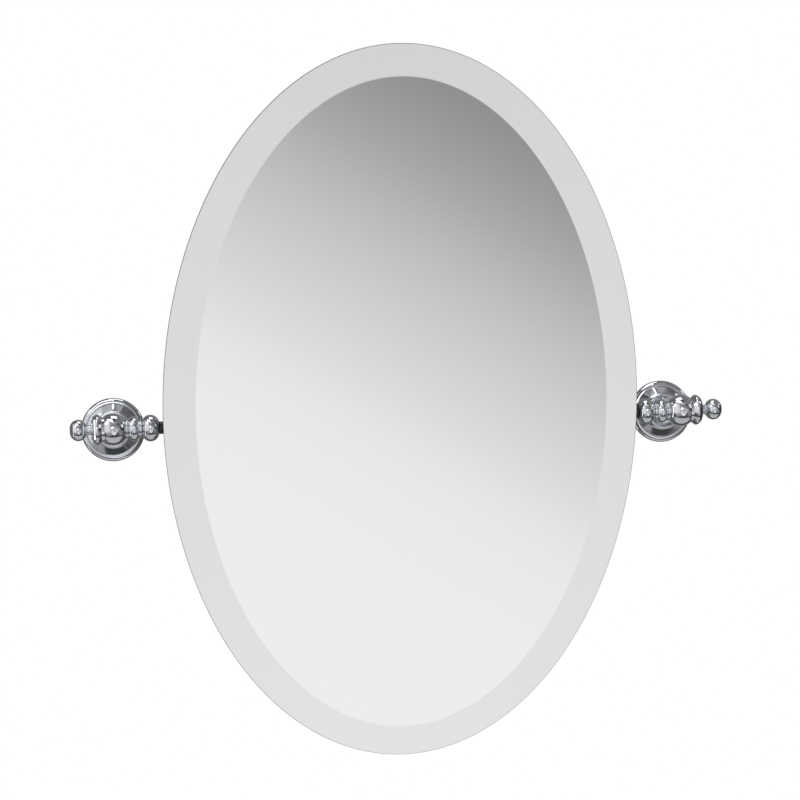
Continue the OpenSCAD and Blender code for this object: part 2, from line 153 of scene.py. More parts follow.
class NodeSketch:
    """A short way to write down a node tree."""

    def __init__(self, tree: bpy.types.NodeTree) -> None:
        """Starts an empty node tree of a material or a world."""
        self.tree = tree
        tree.nodes.clear()

    def node(self, kind: str, feeds: dict[str | int, object] | None = None, **settings: object) -> bpy.types.Node:
        """Adds a node.

        Args:
            kind: what follows ShaderNode in the node's type name.
            feeds: values or sockets for its inputs, by name or number.
            settings: properties of the node, by name.

        Returns:
            The new node.
        """
        made = self.tree.nodes.new(f"ShaderNode{kind}")
        for name, value in settings.items():
            setattr(made, name, value)
        for key, value in (feeds or {}).items():
            if isinstance(value, Socket):
                self.tree.links.new(value, made.inputs[key])
            else:
                made.inputs[key].default_value = value
        return made

    def math(self, operation: str, *values: object) -> Socket:
        """Returns what a Math node makes of one to three numbers or sockets."""
        return self.node("Math", dict(enumerate(values)), operation=operation).outputs[0]

    def dot(self, vector: Socket, axis: Vector) -> Socket:
        """Returns the dot product of a vector socket and a fixed axis."""
        return self.node("VectorMath", {0: vector, 1: axis}, operation="DOT_PRODUCT").outputs["Value"]

    def fit_range(self, value: Socket, source: Pair, result: Pair = (0.0, 1.0), smooth: bool = False) -> Socket:
        """Returns a value moved from one range to another and clamped, with eased ends where it is smooth."""
        kind = "SMOOTHSTEP" if smooth else "LINEAR"
        return self.node("MapRange", dict(enumerate((value, *source, *result))), interpolation_type=kind).outputs[0]

    def blend(self, factor: object, first: object, second: object) -> Socket:
        """Returns a mixture of two colours: the first at factor 0, the second at factor 1."""
        feeds = {"Factor": factor, MIX_FIRST: first, MIX_SECOND: second}
        return self.node("Mix", feeds, data_type="RGBA").outputs[MIXED]

    def ramp(self, value: Socket, stops: Sequence[Pair], interpolation: str) -> Socket:
        """Turns a number into a grey.

        Args:
            value: a number from 0 to 1.
            stops: (place, level) in order.
            interpolation: Blender's name of the way between two stops.

        Returns:
            The grey's socket.
        """
        made = self.node("ValToRGB", {0: value})
        bar = made.color_ramp
        bar.interpolation = interpolation
        while len(bar.elements) < len(stops):
            bar.elements.new(0.5)
        for stop, (place, level) in zip(bar.elements, stops):
            stop.position, stop.color = place, grey(level)
        return made.outputs["Color"]


# How the noise of a grain is drawn, and how fibres are drawn out along the piece's height.
NOISE_DETAIL = {Grain.POLISHED: 3.0, Grain.FIBRE: 7.0, Grain.MOULDED: 1.0}
NOISE_ROUGHNESS = {Grain.POLISHED: 0.5, Grain.FIBRE: 0.72, Grain.MOULDED: 0.5}
FIBRE_SQUEEZE = (1.0, 1.0, 0.35)
# The parts of a grain's height over which its roughness and its worn colour change.
ROUGHNESS_REACH = (0.25, 0.75)
WORN_REACH = (0.3, 0.8)


@dataclass(frozen=True)
class Finish:
    """The finish of one kind of surface.

    Sizes are in millimetres. The colour is linear, and worn is the colour that its grain turns to.
    """

    name: str
    slot: Slot
    color: Colour
    roughness: float
    roughness_spread: float
    grain_size: float
    grain_depth: float
    grain: Grain = Grain.POLISHED
    metallic: float = 0.0
    worn: Colour | None = None
    worn_share: float = 0.35

    def material(self) -> bpy.types.Material:
        """Makes the finish's material at the first call.

        Returns:
            The material.
        """
        known = bpy.data.materials.get(self.name)
        if known:
            return known
        made = bpy.data.materials.new(self.name)
        made.use_nodes = True
        self.draw(NodeSketch(made.node_tree))
        return made

    def draw(self, sketch: NodeSketch) -> None:
        """Draws the shader.

        Args:
            sketch: the material's empty node tree.
        """
        grain = self.height(sketch, sketch.node("TexCoord").outputs["Object"])
        spread = (max(self.roughness - self.roughness_spread, 0.0), self.roughness + self.roughness_spread)
        color: object = (*self.color, 1.0)
        if self.worn:
            share = sketch.fit_range(grain, WORN_REACH, (0.0, self.worn_share))
            color = sketch.blend(share, color, (*self.worn, 1.0))
        bump = sketch.node("Bump", {"Strength": 1.0, "Distance": self.grain_depth * MM, "Height": grain})
        surface = {
            "Base Color": color,
            "Metallic": self.metallic,
            "Roughness": sketch.fit_range(grain, ROUGHNESS_REACH, spread),
            "Normal": bump.outputs[0],
        }
        sketch.node("OutputMaterial", {0: sketch.node("BsdfPrincipled", surface).outputs[0]})

    def height(self, sketch: NodeSketch, place: Socket) -> Socket:
        """Draws the fine structure as a height from 0 to 1.

        Args:
            sketch: the material's node tree.
            place: the point's place on the piece.

        Returns:
            The height's socket.
        """
        feeds: dict[str | int, object] = {"Scale": 1.0 / (self.grain_size * MM), "Vector": place}
        if self.grain is Grain.SPANGLE:
            cells = sketch.node("TexVoronoi", feeds, feature="F1")
            return sketch.node("SeparateColor", {0: cells.outputs["Color"]}).outputs[0]
        if self.grain is Grain.CELLS:
            return sketch.node("TexVoronoi", feeds, feature="SMOOTH_F1").outputs["Distance"]
        if self.grain is Grain.FIBRE:
            feeds["Vector"] = sketch.node("Mapping", {"Vector": place, "Scale": FIBRE_SQUEEZE}).outputs[0]
        feeds["Detail"], feeds["Roughness"] = NOISE_DETAIL[self.grain], NOISE_ROUGHNESS[self.grain]
        return sketch.node("TexNoise", feeds).outputs["Fac"]


CHROME = Finish(
    name="chrome",
    slot=Slot.CHROME_PLATE,
    color=(0.78, 0.798, 0.842),
    metallic=1.0,
    roughness=0.035,
    roughness_spread=0.012,
    grain_size=6.0,
    grain_depth=0.0006,
)
# Painted shade: a near-black colour on the chrome sleeve's neck next to the lug, standing in for the dark surroundings
# that the chrome there reflects.
PAINTED_SHADE_NECK = Finish(
    name="painted_shade_neck",
    slot=Slot.CHROME_PLATE,
    color=(0.045, 0.045, 0.05),
    metallic=0.6,
    roughness=0.3,
    roughness_spread=0.06,
    grain_size=0.8,
    grain_depth=0.002,
)
SILVER_FACE = Finish(
    name="silvered_face",
    slot=Slot.SILVERED_GLASS,
    color=(0.902, 0.902, 0.90),
    metallic=1.0,
    roughness=0.006,
    roughness_spread=0.004,
    grain_size=60.0,
    grain_depth=0.0002,
)
SILVER_BEVEL = Finish(
    name="silvered_bevel",
    slot=Slot.SILVERED_GLASS,
    color=(0.908, 0.905, 0.905),
    metallic=1.0,
    roughness=0.05,
    roughness_spread=0.01,
    grain_size=30.0,
    grain_depth=0.0004,
)
GROUND_EDGE = Finish(
    name="ground_glass_edge",
    slot=Slot.SILVERED_GLASS,
    color=(0.30, 0.36, 0.34),
    roughness=0.38,
    roughness_spread=0.1,
    grain_size=0.6,
    grain_depth=0.01,
)
BACKING_PAINT = Finish(
    name="mirror_backing_paint",
    slot=Slot.SILVERED_GLASS,
    color=(0.20, 0.205, 0.215),
    roughness=0.42,
    roughness_spread=0.08,
    grain_size=3.0,
    grain_depth=0.02,
    grain=Grain.MOULDED,
    worn=(0.27, 0.275, 0.285),
)
PAINTED_BOARD = Finish(
    name="painted_fibreboard",
    slot=Slot.PAINTED_BOARD,
    color=(0.13, 0.128, 0.125),
    roughness=0.60,
    roughness_spread=0.14,
    grain_size=14.0,
    grain_depth=0.5,
    grain=Grain.FIBRE,
    worn=(0.29, 0.28, 0.265),
    worn_share=0.9,
)
ZINC = Finish(
    name="zinc_plate",
    slot=Slot.ZINC_PLATE,
    color=(0.55, 0.57, 0.60),
    metallic=1.0,
    roughness=0.34,
    roughness_spread=0.07,
    grain_size=3.2,
    grain_depth=0.004,
    grain=Grain.SPANGLE,
    worn=(0.44, 0.46, 0.50),
    worn_share=0.6,
)
SCREW_STEEL = Finish(
    name="bright_zinc_steel",
    slot=Slot.SCREW_STEEL,
    color=(0.62, 0.62, 0.63),
    metallic=1.0,
    roughness=0.24,
    roughness_spread=0.06,
    grain_size=0.8,
    grain_depth=0.004,
    worn=(0.50, 0.51, 0.54),
    worn_share=0.5,
)
FOAM = Finish(
    name="foam_tape",
    slot=Slot.FOAM,
    color=(0.62, 0.62, 0.60),
    roughness=0.85,
    roughness_spread=0.05,
    grain_size=0.5,
    grain_depth=0.12,
    grain=Grain.CELLS,
    worn=(0.50, 0.50, 0.48),
)
NYLON = Finish(
    name="nylon",
    slot=Slot.NYLON,
    color=(0.80, 0.79, 0.74),
    roughness=0.40,
    roughness_spread=0.06,
    grain_size=1.5,
    grain_depth=0.01,
    grain=Grain.MOULDED,
    worn=(0.74, 0.73, 0.68),
)


# ---------------------------------------------------------------------------
# Profiles, as (station, radius) points in millimetres


def arc(crest: float, end: float, start: float, stop: float, steps: int = 28) -> list[Point]:
    """Returns the outline of a bead.

    Args:
        crest: radius at the middle of the bead.
        end: radius at its two ends.
        start: station where it starts.
        stop: station where it ends.
        steps: number of straight pieces.

    Returns:
        Points from start to stop.
    """
    half, swell = (stop - start) / 2, crest - end
    bend = (half * half + swell * swell) / (2 * swell)
    middle = (start + stop) / 2
    points = []
    for i in range(steps + 1):
        x = -half + 2 * half * i / steps
        points.append((middle + x, crest - bend + math.sqrt(max(bend * bend - x * x, 0.0))))
    return points


def circle_arc(centre: Point, radius: float, first: float, last: float, steps: int = 24) -> list[Point]:
    """Returns points on a circle.

    Args:
        centre: (station, radius) of its centre.
        radius: the circle's radius.
        first: first angle in degrees, from the direction of the axis towards larger radii.
        last: last angle in degrees.
        steps: number of straight pieces.

    Returns:
        The points in order.
    """
    points = []
    for i in range(steps + 1):
        angle = math.radians(first + (last - first) * i / steps)
        points.append((centre[0] + radius * math.cos(angle), centre[1] + radius * math.sin(angle)))
    return points


def rod(radius: float, start: float, end: float) -> list[Point]:
    """Returns the outline of a plain round rod."""
    return [(start, 0.0), (start, radius), (end, radius), (end, 0.0)]


def eased(points: Sequence[Point], radius: float, corner: float = 24.0, closed: bool = False) -> list[Point]:
    """Rounds the corners of an outline.

    Args:
        points: the outline.
        radius: the rounding's radius.
        corner: the smallest turn in degrees that counts as a corner.
        closed: whether the last point joins the first.

    Returns:
        The outline with each corner drawn as a short arc.
    """
    most_of_side, pieces = 0.45, 4
    kept: list[Point] = []
    count = len(points)
    for i, point in enumerate(points):
        here = Vector(point)
        back, ahead = Vector(points[i - 1]) - here, Vector(points[(i + 1) % count]) - here
        turn = math.pi - back.angle(ahead, math.pi)
        if turn < math.radians(corner) or (not closed and i in (0, count - 1)):
            kept.append(point)
            continue
        reach = min(radius * math.tan(turn / 2), most_of_side * back.length, most_of_side * ahead.length)
        start, stop = here + back.normalized() * reach, here + ahead.normalized() * reach
        for k in range(pieces + 1):
            t = k / pieces
            spot = start * (1 - t) ** 2 + here * 2 * t * (1 - t) + stop * t**2
            kept.append((spot[0], spot[1]))
    return kept


# ---------------------------------------------------------------------------
# Meshes


def placed(name: str, data: bpy.types.ID) -> Thing:
    """Adds an object to the scene.

    Args:
        name: its name.
        data: its mesh, lamp or camera.

    Returns:
        The new object.
    """
    made = bpy.data.objects.new(name, data)
    bpy.context.scene.collection.objects.link(made)
    return made


def discard(piece: Thing) -> None:
    """Removes an object with its mesh.

    Args:
        piece: the object, which is used up.
    """
    spent = piece.data
    bpy.data.objects.remove(piece)
    bpy.data.meshes.remove(spent)


def settled(work: bmesh.types.BMesh, name: str) -> Thing:
    """Makes an object of a mesh in the making.

    Args:
        work: the mesh, which is used up.
        name: the object's name.

    Returns:
        The new object.
    """
    mesh = bpy.data.meshes.new(name)
    work.to_mesh(mesh)
    work.free()
    return placed(name, mesh)


def smooth(mesh: bpy.types.Mesh) -> None:
    """Shades a mesh smooth between its crisp edges.

    Args:
        mesh: the finished mesh.
    """
    mesh.polygons.foreach_set("use_smooth", [True] * len(mesh.polygons))
    mesh.set_sharp_from_angle(angle=CRISP)
    mesh.update()


def dress(piece: Thing, finish: Finish) -> Thing:
    """Gives a whole piece one finish.

    Args:
        piece: the object.
        finish: its finish.

    Returns:
        The same object.
    """
    piece.data.materials.clear()
    piece.data.materials.append(finish.material())
    return piece


@dataclass
class Skin:
    """A mesh in the making: points in metres, faces, and the finish of each face."""

    points: list[Vector] = field(default_factory=list)
    faces: list[tuple[int, ...]] = field(default_factory=list)
    finishes: list[int] = field(default_factory=list)

    def add_loops(
        self, loops: Sequence[Sequence[Vector]], band: Callable[[int], int] = lambda _: 0, wrap: bool = False
    ) -> None:
        """Joins closed loops of points, one after another, with quads.

        Args:
            loops: rings with as many points each, or a single point for a pole.
            band: gives the finish number of the band that starts at a loop.
            wrap: joins the last loop to the first.
        """
        starts = []
        for loop in loops:
            starts.append((len(self.points), len(loop)))
            self.points.extend(loop)
        pairs = list(zip(range(len(loops)), range(1, len(loops))))
        if wrap:
            pairs.append((len(loops) - 1, 0))
        for a, b in pairs:
            (first, n), (second, m) = starts[a], starts[b]
            for i in range(max(n, m)):
                j = (i + 1) % max(n, m)
                corners = [first + (i if n > 1 else 0), first + (j if n > 1 else 0)]
                corners += [second + (j if m > 1 else 0), second + (i if m > 1 else 0)]
                face = tuple(dict.fromkeys(corners))
                if len(face) > 2:
                    self.faces.append(face)
                    self.finishes.append(band(a))

    def build(self, name: str, finishes: Sequence[Finish]) -> Thing:
        """Makes the object.

        Args:
            name: the piece's name.
            finishes: its finishes, by the numbers that the faces hold.

        Returns:
            The new object, with smooth shading between its crisp edges.
        """
        mesh = bpy.data.meshes.new(name)
        mesh.from_pydata([tuple(point) for point in self.points], [], self.faces)
        for finish in finishes:
            mesh.materials.append(finish.material())
        mesh.polygons.foreach_set("material_index", self.finishes)
        work = bmesh.new()
        work.from_mesh(mesh)
        bmesh.ops.remove_doubles(work, verts=work.verts, dist=ONE_POINT)
        bmesh.ops.recalc_face_normals(work, faces=work.faces)
        work.to_mesh(mesh)
        work.free()
        smooth(mesh)
        return placed(name, mesh)


def circle(radius: float, height: float, steps: int) -> list[Vector]:
    """Returns the points of a level circle about Z."""
    turns = (2 * math.pi * i / steps for i in range(steps))
    return [Vector((radius * math.cos(turn), radius * math.sin(turn), height)) for turn in turns]


def turned(
    name: str,
    profile: Sequence[Point],
    place: Matrix,
    *finishes: Finish,
    steps: int = 160,
    closed: bool = False,
    band: Callable[[int], int] = lambda _: 0,
) -> Thing:
    """Revolves a profile.

    Args:
        name: the piece's name.
        profile: (station, radius) points in millimetres.
        place: takes the turning's own frame, whose axis is Z, to the scene's frame, both in metres.
        finishes: the piece's finishes, or none for a cutter.
        steps: number of flats round the axis.
        closed: whether the profile is a ring's section, which joins up.
        band: gives the finish number of the band that starts at a point of the profile.

    Returns:
        The turned piece.
    """
    least_radius = 1e-6
    loops = []
    for station, radius in profile:
        pole = radius < least_radius
        ring = [Vector((0, 0, station * MM))] if pole else circle(radius * MM, station * MM, steps)
        loops.append([place @ point for point in ring])
    skin = Skin()
    skin.add_loops(loops, band, closed)
    return skin.build(name, finishes)


def peg(place: Matrix, radius: float, start: float, end: float, steps: int = 64) -> Thing:
    """Returns a round cutter along its frame's Z, from one station to another."""
    return turned("peg", rod(radius, start, end), place, steps=steps)


def block(name: str, low: Sequence[float], high: Sequence[float], place: Matrix, ease: float = 0.0) -> Thing:
    """Makes a box.

    Args:
        name: the object's name.
        low: its lowest corner in millimetres.
        high: its highest corner in millimetres.
        place: takes the box's frame to the scene's frame.
        ease: radius of its rounded edges in millimetres, or 0.

    Returns:
        The new object.
    """
    work = bmesh.new()
    bmesh.ops.create_cube(work, size=1.0)
    size = Vector(high) - Vector(low)
    for vert in work.verts:
        vert.co = Vector([(low[k] + (vert.co[k] + 0.5) * size[k]) * MM for k in range(3)])
    if ease:
        edges = list(work.edges)
        bmesh.ops.bevel(work, geom=edges, offset=ease * MM, segments=3, profile=0.5, affect="EDGES", clamp_overlap=True)
    work.transform(place)
    return settled(work, name)


def combine(piece: Thing, others: Iterable[Thing], way: Combining) -> None:
    """Cuts solids out of a piece, or welds them on.

    Args:
        piece: the solid that changes.
        others: the cutters or additions, which are used up.
        way: whether they are cut out or welded on.
    """
    for other in others:
        step = piece.modifiers.new("combine", "BOOLEAN")
        step.operation, step.solver, step.object = way.value, "EXACT", other
        bpy.context.view_layer.update()
        result = bpy.data.meshes.new_from_object(piece.evaluated_get(bpy.context.evaluated_depsgraph_get()))
        piece.modifiers.clear()
        old, piece.data = piece.data, result
        name = old.name
        bpy.data.meshes.remove(old)
        result.name = name
        discard(other)
    smooth(piece.data)


def carved(piece: Thing, cutters: Iterable[Thing], finish: Finish) -> Thing:
    """Returns a piece with solids cut out of it and one finish all over."""
    combine(piece, cutters, Combining.CUT)
    return dress(piece, finish)


def joined(pieces: Sequence[Thing], name: str, finish: Finish) -> Thing:
    """Joins meshes of one finish into one object.

    Args:
        pieces: the objects, which are used up.
        name: the new object's name.
        finish: their finish.

    Returns:
        The joined object.
    """
    work = bmesh.new()
    for piece in pieces:
        work.from_mesh(piece.data)
        discard(piece)
    made = dress(settled(work, name), finish)
    smooth(made.data)
    return made


def fit(piece: Thing, body: Body, node: str) -> None:
    """Puts a finished piece in the model, and reports how well it fills the solid that it stands for.

    Args:
        piece: the finished object, in place.
        body: the body that it rides on.
        node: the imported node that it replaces.
    """
    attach(piece, body.value)
    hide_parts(node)
    low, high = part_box(node)
    off = 0.0
    for k in range(3):
        reach = [corner[k] for corner in piece.bound_box]
        off = max(off, abs(min(reach) - low[k]), abs(max(reach) - high[k]))
    log.info("%s: %d faces, box within %.2f mm of its solid", piece.name, len(piece.data.polygons), off / MM)


def carry_over(node: str, finish: Finish) -> None:
    """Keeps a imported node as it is, and gives it its finish."""
    dress(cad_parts[node], finish)
    log.info("%s: packed node kept", node)


# ---------------------------------------------------------------------------
# Sizes shared by the sub-assemblies


@dataclass(frozen=True)
class Layout:
    """Where the sub-assemblies stand."""

    standoff: float = 70.0
    bracket_x: float = 241.0
    rest_tilt: float = 12.0
    centre_rise: float = 10.0
    board_front: float = -6.0
    board_back: float = 3.0

    def on_mirror(self) -> Matrix:
        """Returns the mirror's own frame: X is the pivot axis, and the glass is parallel to XZ."""
        return shift(0, -self.standoff, 0) @ about("X", self.rest_tilt)

    def on_pivot(self, side: Side) -> Matrix:
        """Returns the frame of a piece on the pivot axis: its Z points away from the mirror."""
        return shift(side.value * self.bracket_x, -self.standoff, 0) @ about("Y", 90 * side.value)

    def on_wall(self, side: Side) -> Matrix:
        """Returns the frame of a piece on the wall: its Z points away from the wall."""
        return shift(side.value * self.bracket_x, 0, 0) @ about("X", 90)


LAYOUT = Layout()


@dataclass(frozen=True)
class PivotSizes:
    """Stations and radii that pieces on the pivot axis share."""

    stud_r: float = 4.0
    stud_grip: float = 24.0
    knob_grip: float = 8.5
    running_gap: float = 0.05
    axial_gap: float = 0.1
    slide_gap: float = 0.1
    end_gap: float = 0.4
    fixed_gap: float = 0.02
    ball_flat_in: float = 10.3
    ball_flat_out: float = 7.0
    bush_flange_r: float = 6.5
    bush_flange_t: float = 1.0
    bush_wall: float = 1.0

    @property
    def bore_r(self) -> float:
        """Radius of a bore that turns on the stud."""
        return self.stud_r + self.running_gap

    @property
    def knob_in(self) -> float:
        """Station of the knob's end towards the ball."""
        return self.ball_flat_out + self.axial_gap


PIVOT = PivotSizes()


# ---------------------------------------------------------------------------
# Mirror


@dataclass
class Mirror:
    """The bevelled glass, the foam tape behind it and the backing board."""

    glass_w: float = 400.0
    glass_h: float = 606.0
    glass_front: float = -12.0
    glass_back: float = -7.0
    rim_t: float = 3.0
    bevel_w: float = 26.5
    bevel_steps: int = 6
    bevel_ease: float = 0.5
    arris: float = 0.5
    arris_in: float = 0.12
    arris_down: float = 0.15
    board_inset: float = 10.0
    board_chamfer: float = 4.0
    board_ease: float = 0.5
    board_ease_middle: float = 0.2
    slot_w: float = 12.6
    slot_end: float = 135.7
    flats: int = 480
    face_rings: int = 10

    def outline(self, inset: float, depth: float) -> list[Vector]:
        """Returns the oval outline, moved in along its normal.

        Args:
            inset: distance from the glass rim.
            depth: place on the mirror's Y axis.

        Returns:
            Points in the scene's frame.
        """
        a, b = self.glass_w / 2, self.glass_h / 2
        place = LAYOUT.on_mirror()
        points = []
        for i in range(self.flats):
            angle = 2 * math.pi * i / self.flats
            c, s = math.cos(angle), math.sin(angle)
            normal = Vector((b * c, a * s)).normalized()
            x, z = a * c - inset * normal[0], b * s - inset * normal[1]
            points.append(place @ (Vector((x, depth, z + LAYOUT.centre_rise)) * MM))
        return points

    def flat_face(self, skin: Skin, edge: Sequence[Vector], finish: int) -> None:
        """Fills a loop with rings down to its middle.

        Args:
            skin: the mesh in the making.
            edge: the loop round the face.
            finish: the face's finish number.
        """
        middle = sum(edge, Vector()) / len(edge)
        loops = []
        for i in range(self.face_rings):
            share = 1.0 - i / self.face_rings
            loops.append([middle + (point - middle) * share for point in edge])
        skin.add_loops([*loops, [middle]], lambda _: finish)

    def build_glass(self) -> None:
        """Builds the glass with its silvered face and bevel, ground rim and painted back."""
        face, bevel, rim, back = range(4)
        rim_front = self.glass_back - self.rim_t
        slope = (rim_front - self.glass_front) / (self.bevel_w - self.arris)
        levels = [
            (self.arris, self.glass_back, rim),
            (self.arris_in, self.glass_back - self.arris_down, rim),
            (0.0, self.glass_back - self.arris, rim),
            (0.0, rim_front + self.arris, rim),
            (self.arris_in, rim_front + self.arris_down, rim),
            (self.arris, rim_front, bevel),
        ]
        for i in range(1, self.bevel_steps + 1):
            inset = self.arris + (self.bevel_w - self.bevel_ease - self.arris) * i / self.bevel_steps
            levels.append((inset, rim_front - slope * (inset - self.arris), bevel))
        levels.append((self.bevel_w + self.bevel_ease, self.glass_front, face))
        skin = Skin()
        loops = [self.outline(inset, depth) for inset, depth, _ in levels]
        skin.add_loops(loops, lambda k: levels[k][2])
        self.flat_face(skin, loops[-1], face)
        self.flat_face(skin, loops[0], back)
        piece = skin.build("bevelled_glass", (SILVER_FACE, SILVER_BEVEL, GROUND_EDGE, BACKING_PAINT))
        self.crisp_bevel_line(piece.data)
        fit(piece, Body.MIRROR, "mirror_glass")

    def crisp_bevel_line(self, mesh: bpy.types.Mesh) -> None:
        """Marks the edges between two finishes, and along the bevel's top, as crisp.

        Args:
            mesh: the glass.
        """
        work = bmesh.new()
        work.from_mesh(mesh)
        flat = Vector((0, -1, 0))
        flat.rotate(LAYOUT.on_mirror().to_euler())
        nearly_flat = math.radians(0.2)
        for edge in work.edges:
            if len(edge.link_faces) == 2:
                first, second = edge.link_faces
                level = [face.normal.angle(flat) < nearly_flat for face in (first, second)]
                if first.material_index != second.material_index or level[0] != level[1]:
                    edge.smooth = False
        work.to_mesh(mesh)
        work.free()

    def build_board(self) -> None:
        """Builds the backing board with a slot for each lug."""
        inset, foot = self.board_inset, LAYOUT.board_back - self.board_chamfer
        shoulder, ease, middle = inset + self.board_chamfer, self.board_ease, self.board_ease_middle
        levels = [
            (shoulder + ease, LAYOUT.board_back),
            (shoulder - middle, LAYOUT.board_back - middle),
            (inset + middle, foot + middle),
            (inset, foot - ease),
            (inset, LAYOUT.board_front),
        ]
        skin = Skin()
        loops = [self.outline(*level) for level in levels]
        skin.add_loops(loops)
        self.flat_face(skin, loops[0], 0)
        self.flat_face(skin, loops[-1], 0)
        piece = skin.build("backing_board_painted", (PAINTED_BOARD,))
        cutters = []
        for side in Side:
            near, far = sorted((side.value * self.slot_end, side.value * self.glass_w / 2))
            low = (near, LAYOUT.board_front - OVERRUN, -self.slot_w / 2)
            high = (far, LAYOUT.board_back + OVERRUN, self.slot_w / 2)
            cutters.append(block("slot_cutter", low, high, LAYOUT.on_mirror()))
        fit(carved(piece, cutters, PAINTED_BOARD), Body.MIRROR, "backing_board")

    def build(self) -> None:
        """Builds the glass and the board, and finishes the foam tape."""
        self.build_glass()
        self.build_board()
        carry_over("foam_tape", FOAM)


@dataclass
class Suspension:
    """What carries the mirror on one side and turns with it: lug, screws, stud, sleeve and washer."""

    side: Side
    lug_x_in: float = 136.0
    lug_x_out: float = 199.0
    lug_l: float = 52.0
    lug_w: float = 30.0
    lug_t: float = 3.0
    lug_ease: float = 0.5
    block_w: float = 12.0
    block_setback: float = 0.5
    block_ease: float = 0.4
    nose_r: float = 5.4
    screw_r: float = 1.75
    screw_l: float = 10.0
    screw_tip: float = 1.2
    screw_ease: float = 0.2
    screw_end: float = 7.0
    screw_edge: float = 5.25
    head_r: float = 3.325
    head_h: float = 1.925
    head_side_share: float = 0.35
    crown_h_share: float = 0.55
    crown_r_share: float = 0.86
    recess_r_share: float = 0.55
    recess_w_share: float = 0.2
    recess_h_share: float = 0.5
    recess_turn: float = 20.0
    lug_end: float = -42.0
    neck_out: float = -38.0
    neck_r: float = 5.2
    # How far the painted shade band on the neck reaches past the neck's radius and its outer end.
    shade_band_margin: float = 0.2
    large_bead_out: float = -23.6
    large_bead_r: float = 11.1
    mid_ring_out: float = -21.8
    mid_ring_r: float = 7.6
    small_bead_out: float = -12.6
    small_bead_r: float = 10.1
    sleeve_out: float = -10.4
    sleeve_ease: float = 0.15
    end_ring_r: float = 8.4
    ring_swell: float = 0.6

    @property
    def seat(self) -> float:
        """The lug plate's outer face, on the mirror's Y axis."""
        return LAYOUT.board_back + self.lug_t

    def on_lug(self) -> Matrix:
        """Returns the mirror's frame, mirrored for the left side."""
        return LAYOUT.on_mirror() @ Matrix.Diagonal((self.side.value, 1, 1, 1))

    def on_screw(self, spot: Point, height: float = 0.0) -> Matrix:
        """Returns a lug screw's frame, at a height on the mirror's Y axis: its Z points away from the board."""
        place = Vector((spot[0], height, spot[1])) * MM
        return self.on_lug() @ Matrix.Translation(place) @ about("X", -90)

    def screw_spots(self) -> list[Point]:
        """Places the lug's screws.

        Returns:
            (x, z) of their axes in the mirror's frame.
        """
        middle = self.lug_x_in + self.lug_l / 2
        span_x, span_z = self.lug_l / 2 - self.screw_end, self.lug_w / 2 - self.screw_edge
        return [(middle + i * span_x, k * span_z) for i in (-1, 1) for k in (-1, 1)]

    def build_lug(self) -> None:
        """Builds the lug: plate, block and round nose, drilled for its screws and the stud."""
        here = self.on_lug()
        end, half_w, half_block = self.lug_x_in + self.lug_l, self.lug_w / 2, self.block_w / 2
        low, high = (self.lug_x_in, LAYOUT.board_back, -half_w), (end, self.seat, half_w)
        plate = block(f"{self.side.label}_lug_plate", low, high, here, self.lug_ease)
        low = (self.lug_x_in, LAYOUT.board_front + self.block_setback, -half_block)
        high = (end, LAYOUT.board_back + self.lug_t / 2, half_block)
        tongue = block("tongue", low, high, here, self.block_ease)
        along = here @ about("Y", 90)
        nose = eased(rod(self.nose_r, end - OVERRUN, self.lug_x_out), self.block_ease)
        combine(plate, (tongue, turned("nose", nose, along, steps=64)), Combining.WELD)
        bore_end = self.lug_x_out - PIVOT.stud_grip - PIVOT.end_gap
        cutters = [peg(along, PIVOT.stud_r + PIVOT.fixed_gap, bore_end, self.lug_x_out + OVERRUN)]
        hole_r, start, stop = self.screw_r + PIVOT.slide_gap, LAYOUT.board_back - OVERRUN, self.seat + OVERRUN
        cutters += [peg(self.on_screw(spot), hole_r, start, stop, steps=32) for spot in self.screw_spots()]
        fit(carved(plate, cutters, ZINC), Body.MIRROR, f"{self.side.label}_lug")

    def screw(self, spot: Point) -> Thing:
        """Builds one pan-head screw with a cross recess.

        Args:
            spot: (x, z) of its axis in the mirror's frame.

        Returns:
            The screw, in place.
        """
        outward = self.on_screw(spot, self.seat)
        crown_r = self.head_r * self.crown_r_share
        crown = arc(self.head_h, self.head_h * self.crown_h_share, -crown_r, crown_r, steps=20)
        profile = [(-self.screw_l, 0), (-self.screw_l + self.screw_tip, self.screw_r), (0, self.screw_r)]
        profile += [(0, self.head_r), (self.head_h * self.head_side_share, self.head_r)]
        profile += [(height, radius) for radius, height in reversed(crown) if radius >= 0]
        head = turned("screw", eased(profile, self.screw_ease), outward, SCREW_STEEL, steps=48)
        arm, width = self.head_r * self.recess_r_share, self.screw_r * self.recess_w_share
        low = (-arm, -width, self.head_h - self.head_h * self.recess_h_share)
        high = (arm, width, self.head_h + OVERRUN)
        turns = (outward @ about("Z", across + self.recess_turn) for across in (0, 90))
        return carved(head, [block("recess", low, high, turn) for turn in turns], SCREW_STEEL)

    def build_screws(self) -> None:
        """Builds the lug's four screws as one piece."""
        screws = [self.screw(spot) for spot in self.screw_spots()]
        piece = joined(screws, f"{self.side.label}_lug_pan_screws", SCREW_STEEL)
        fit(piece, Body.MIRROR, f"{self.side.label}_lug_screws")

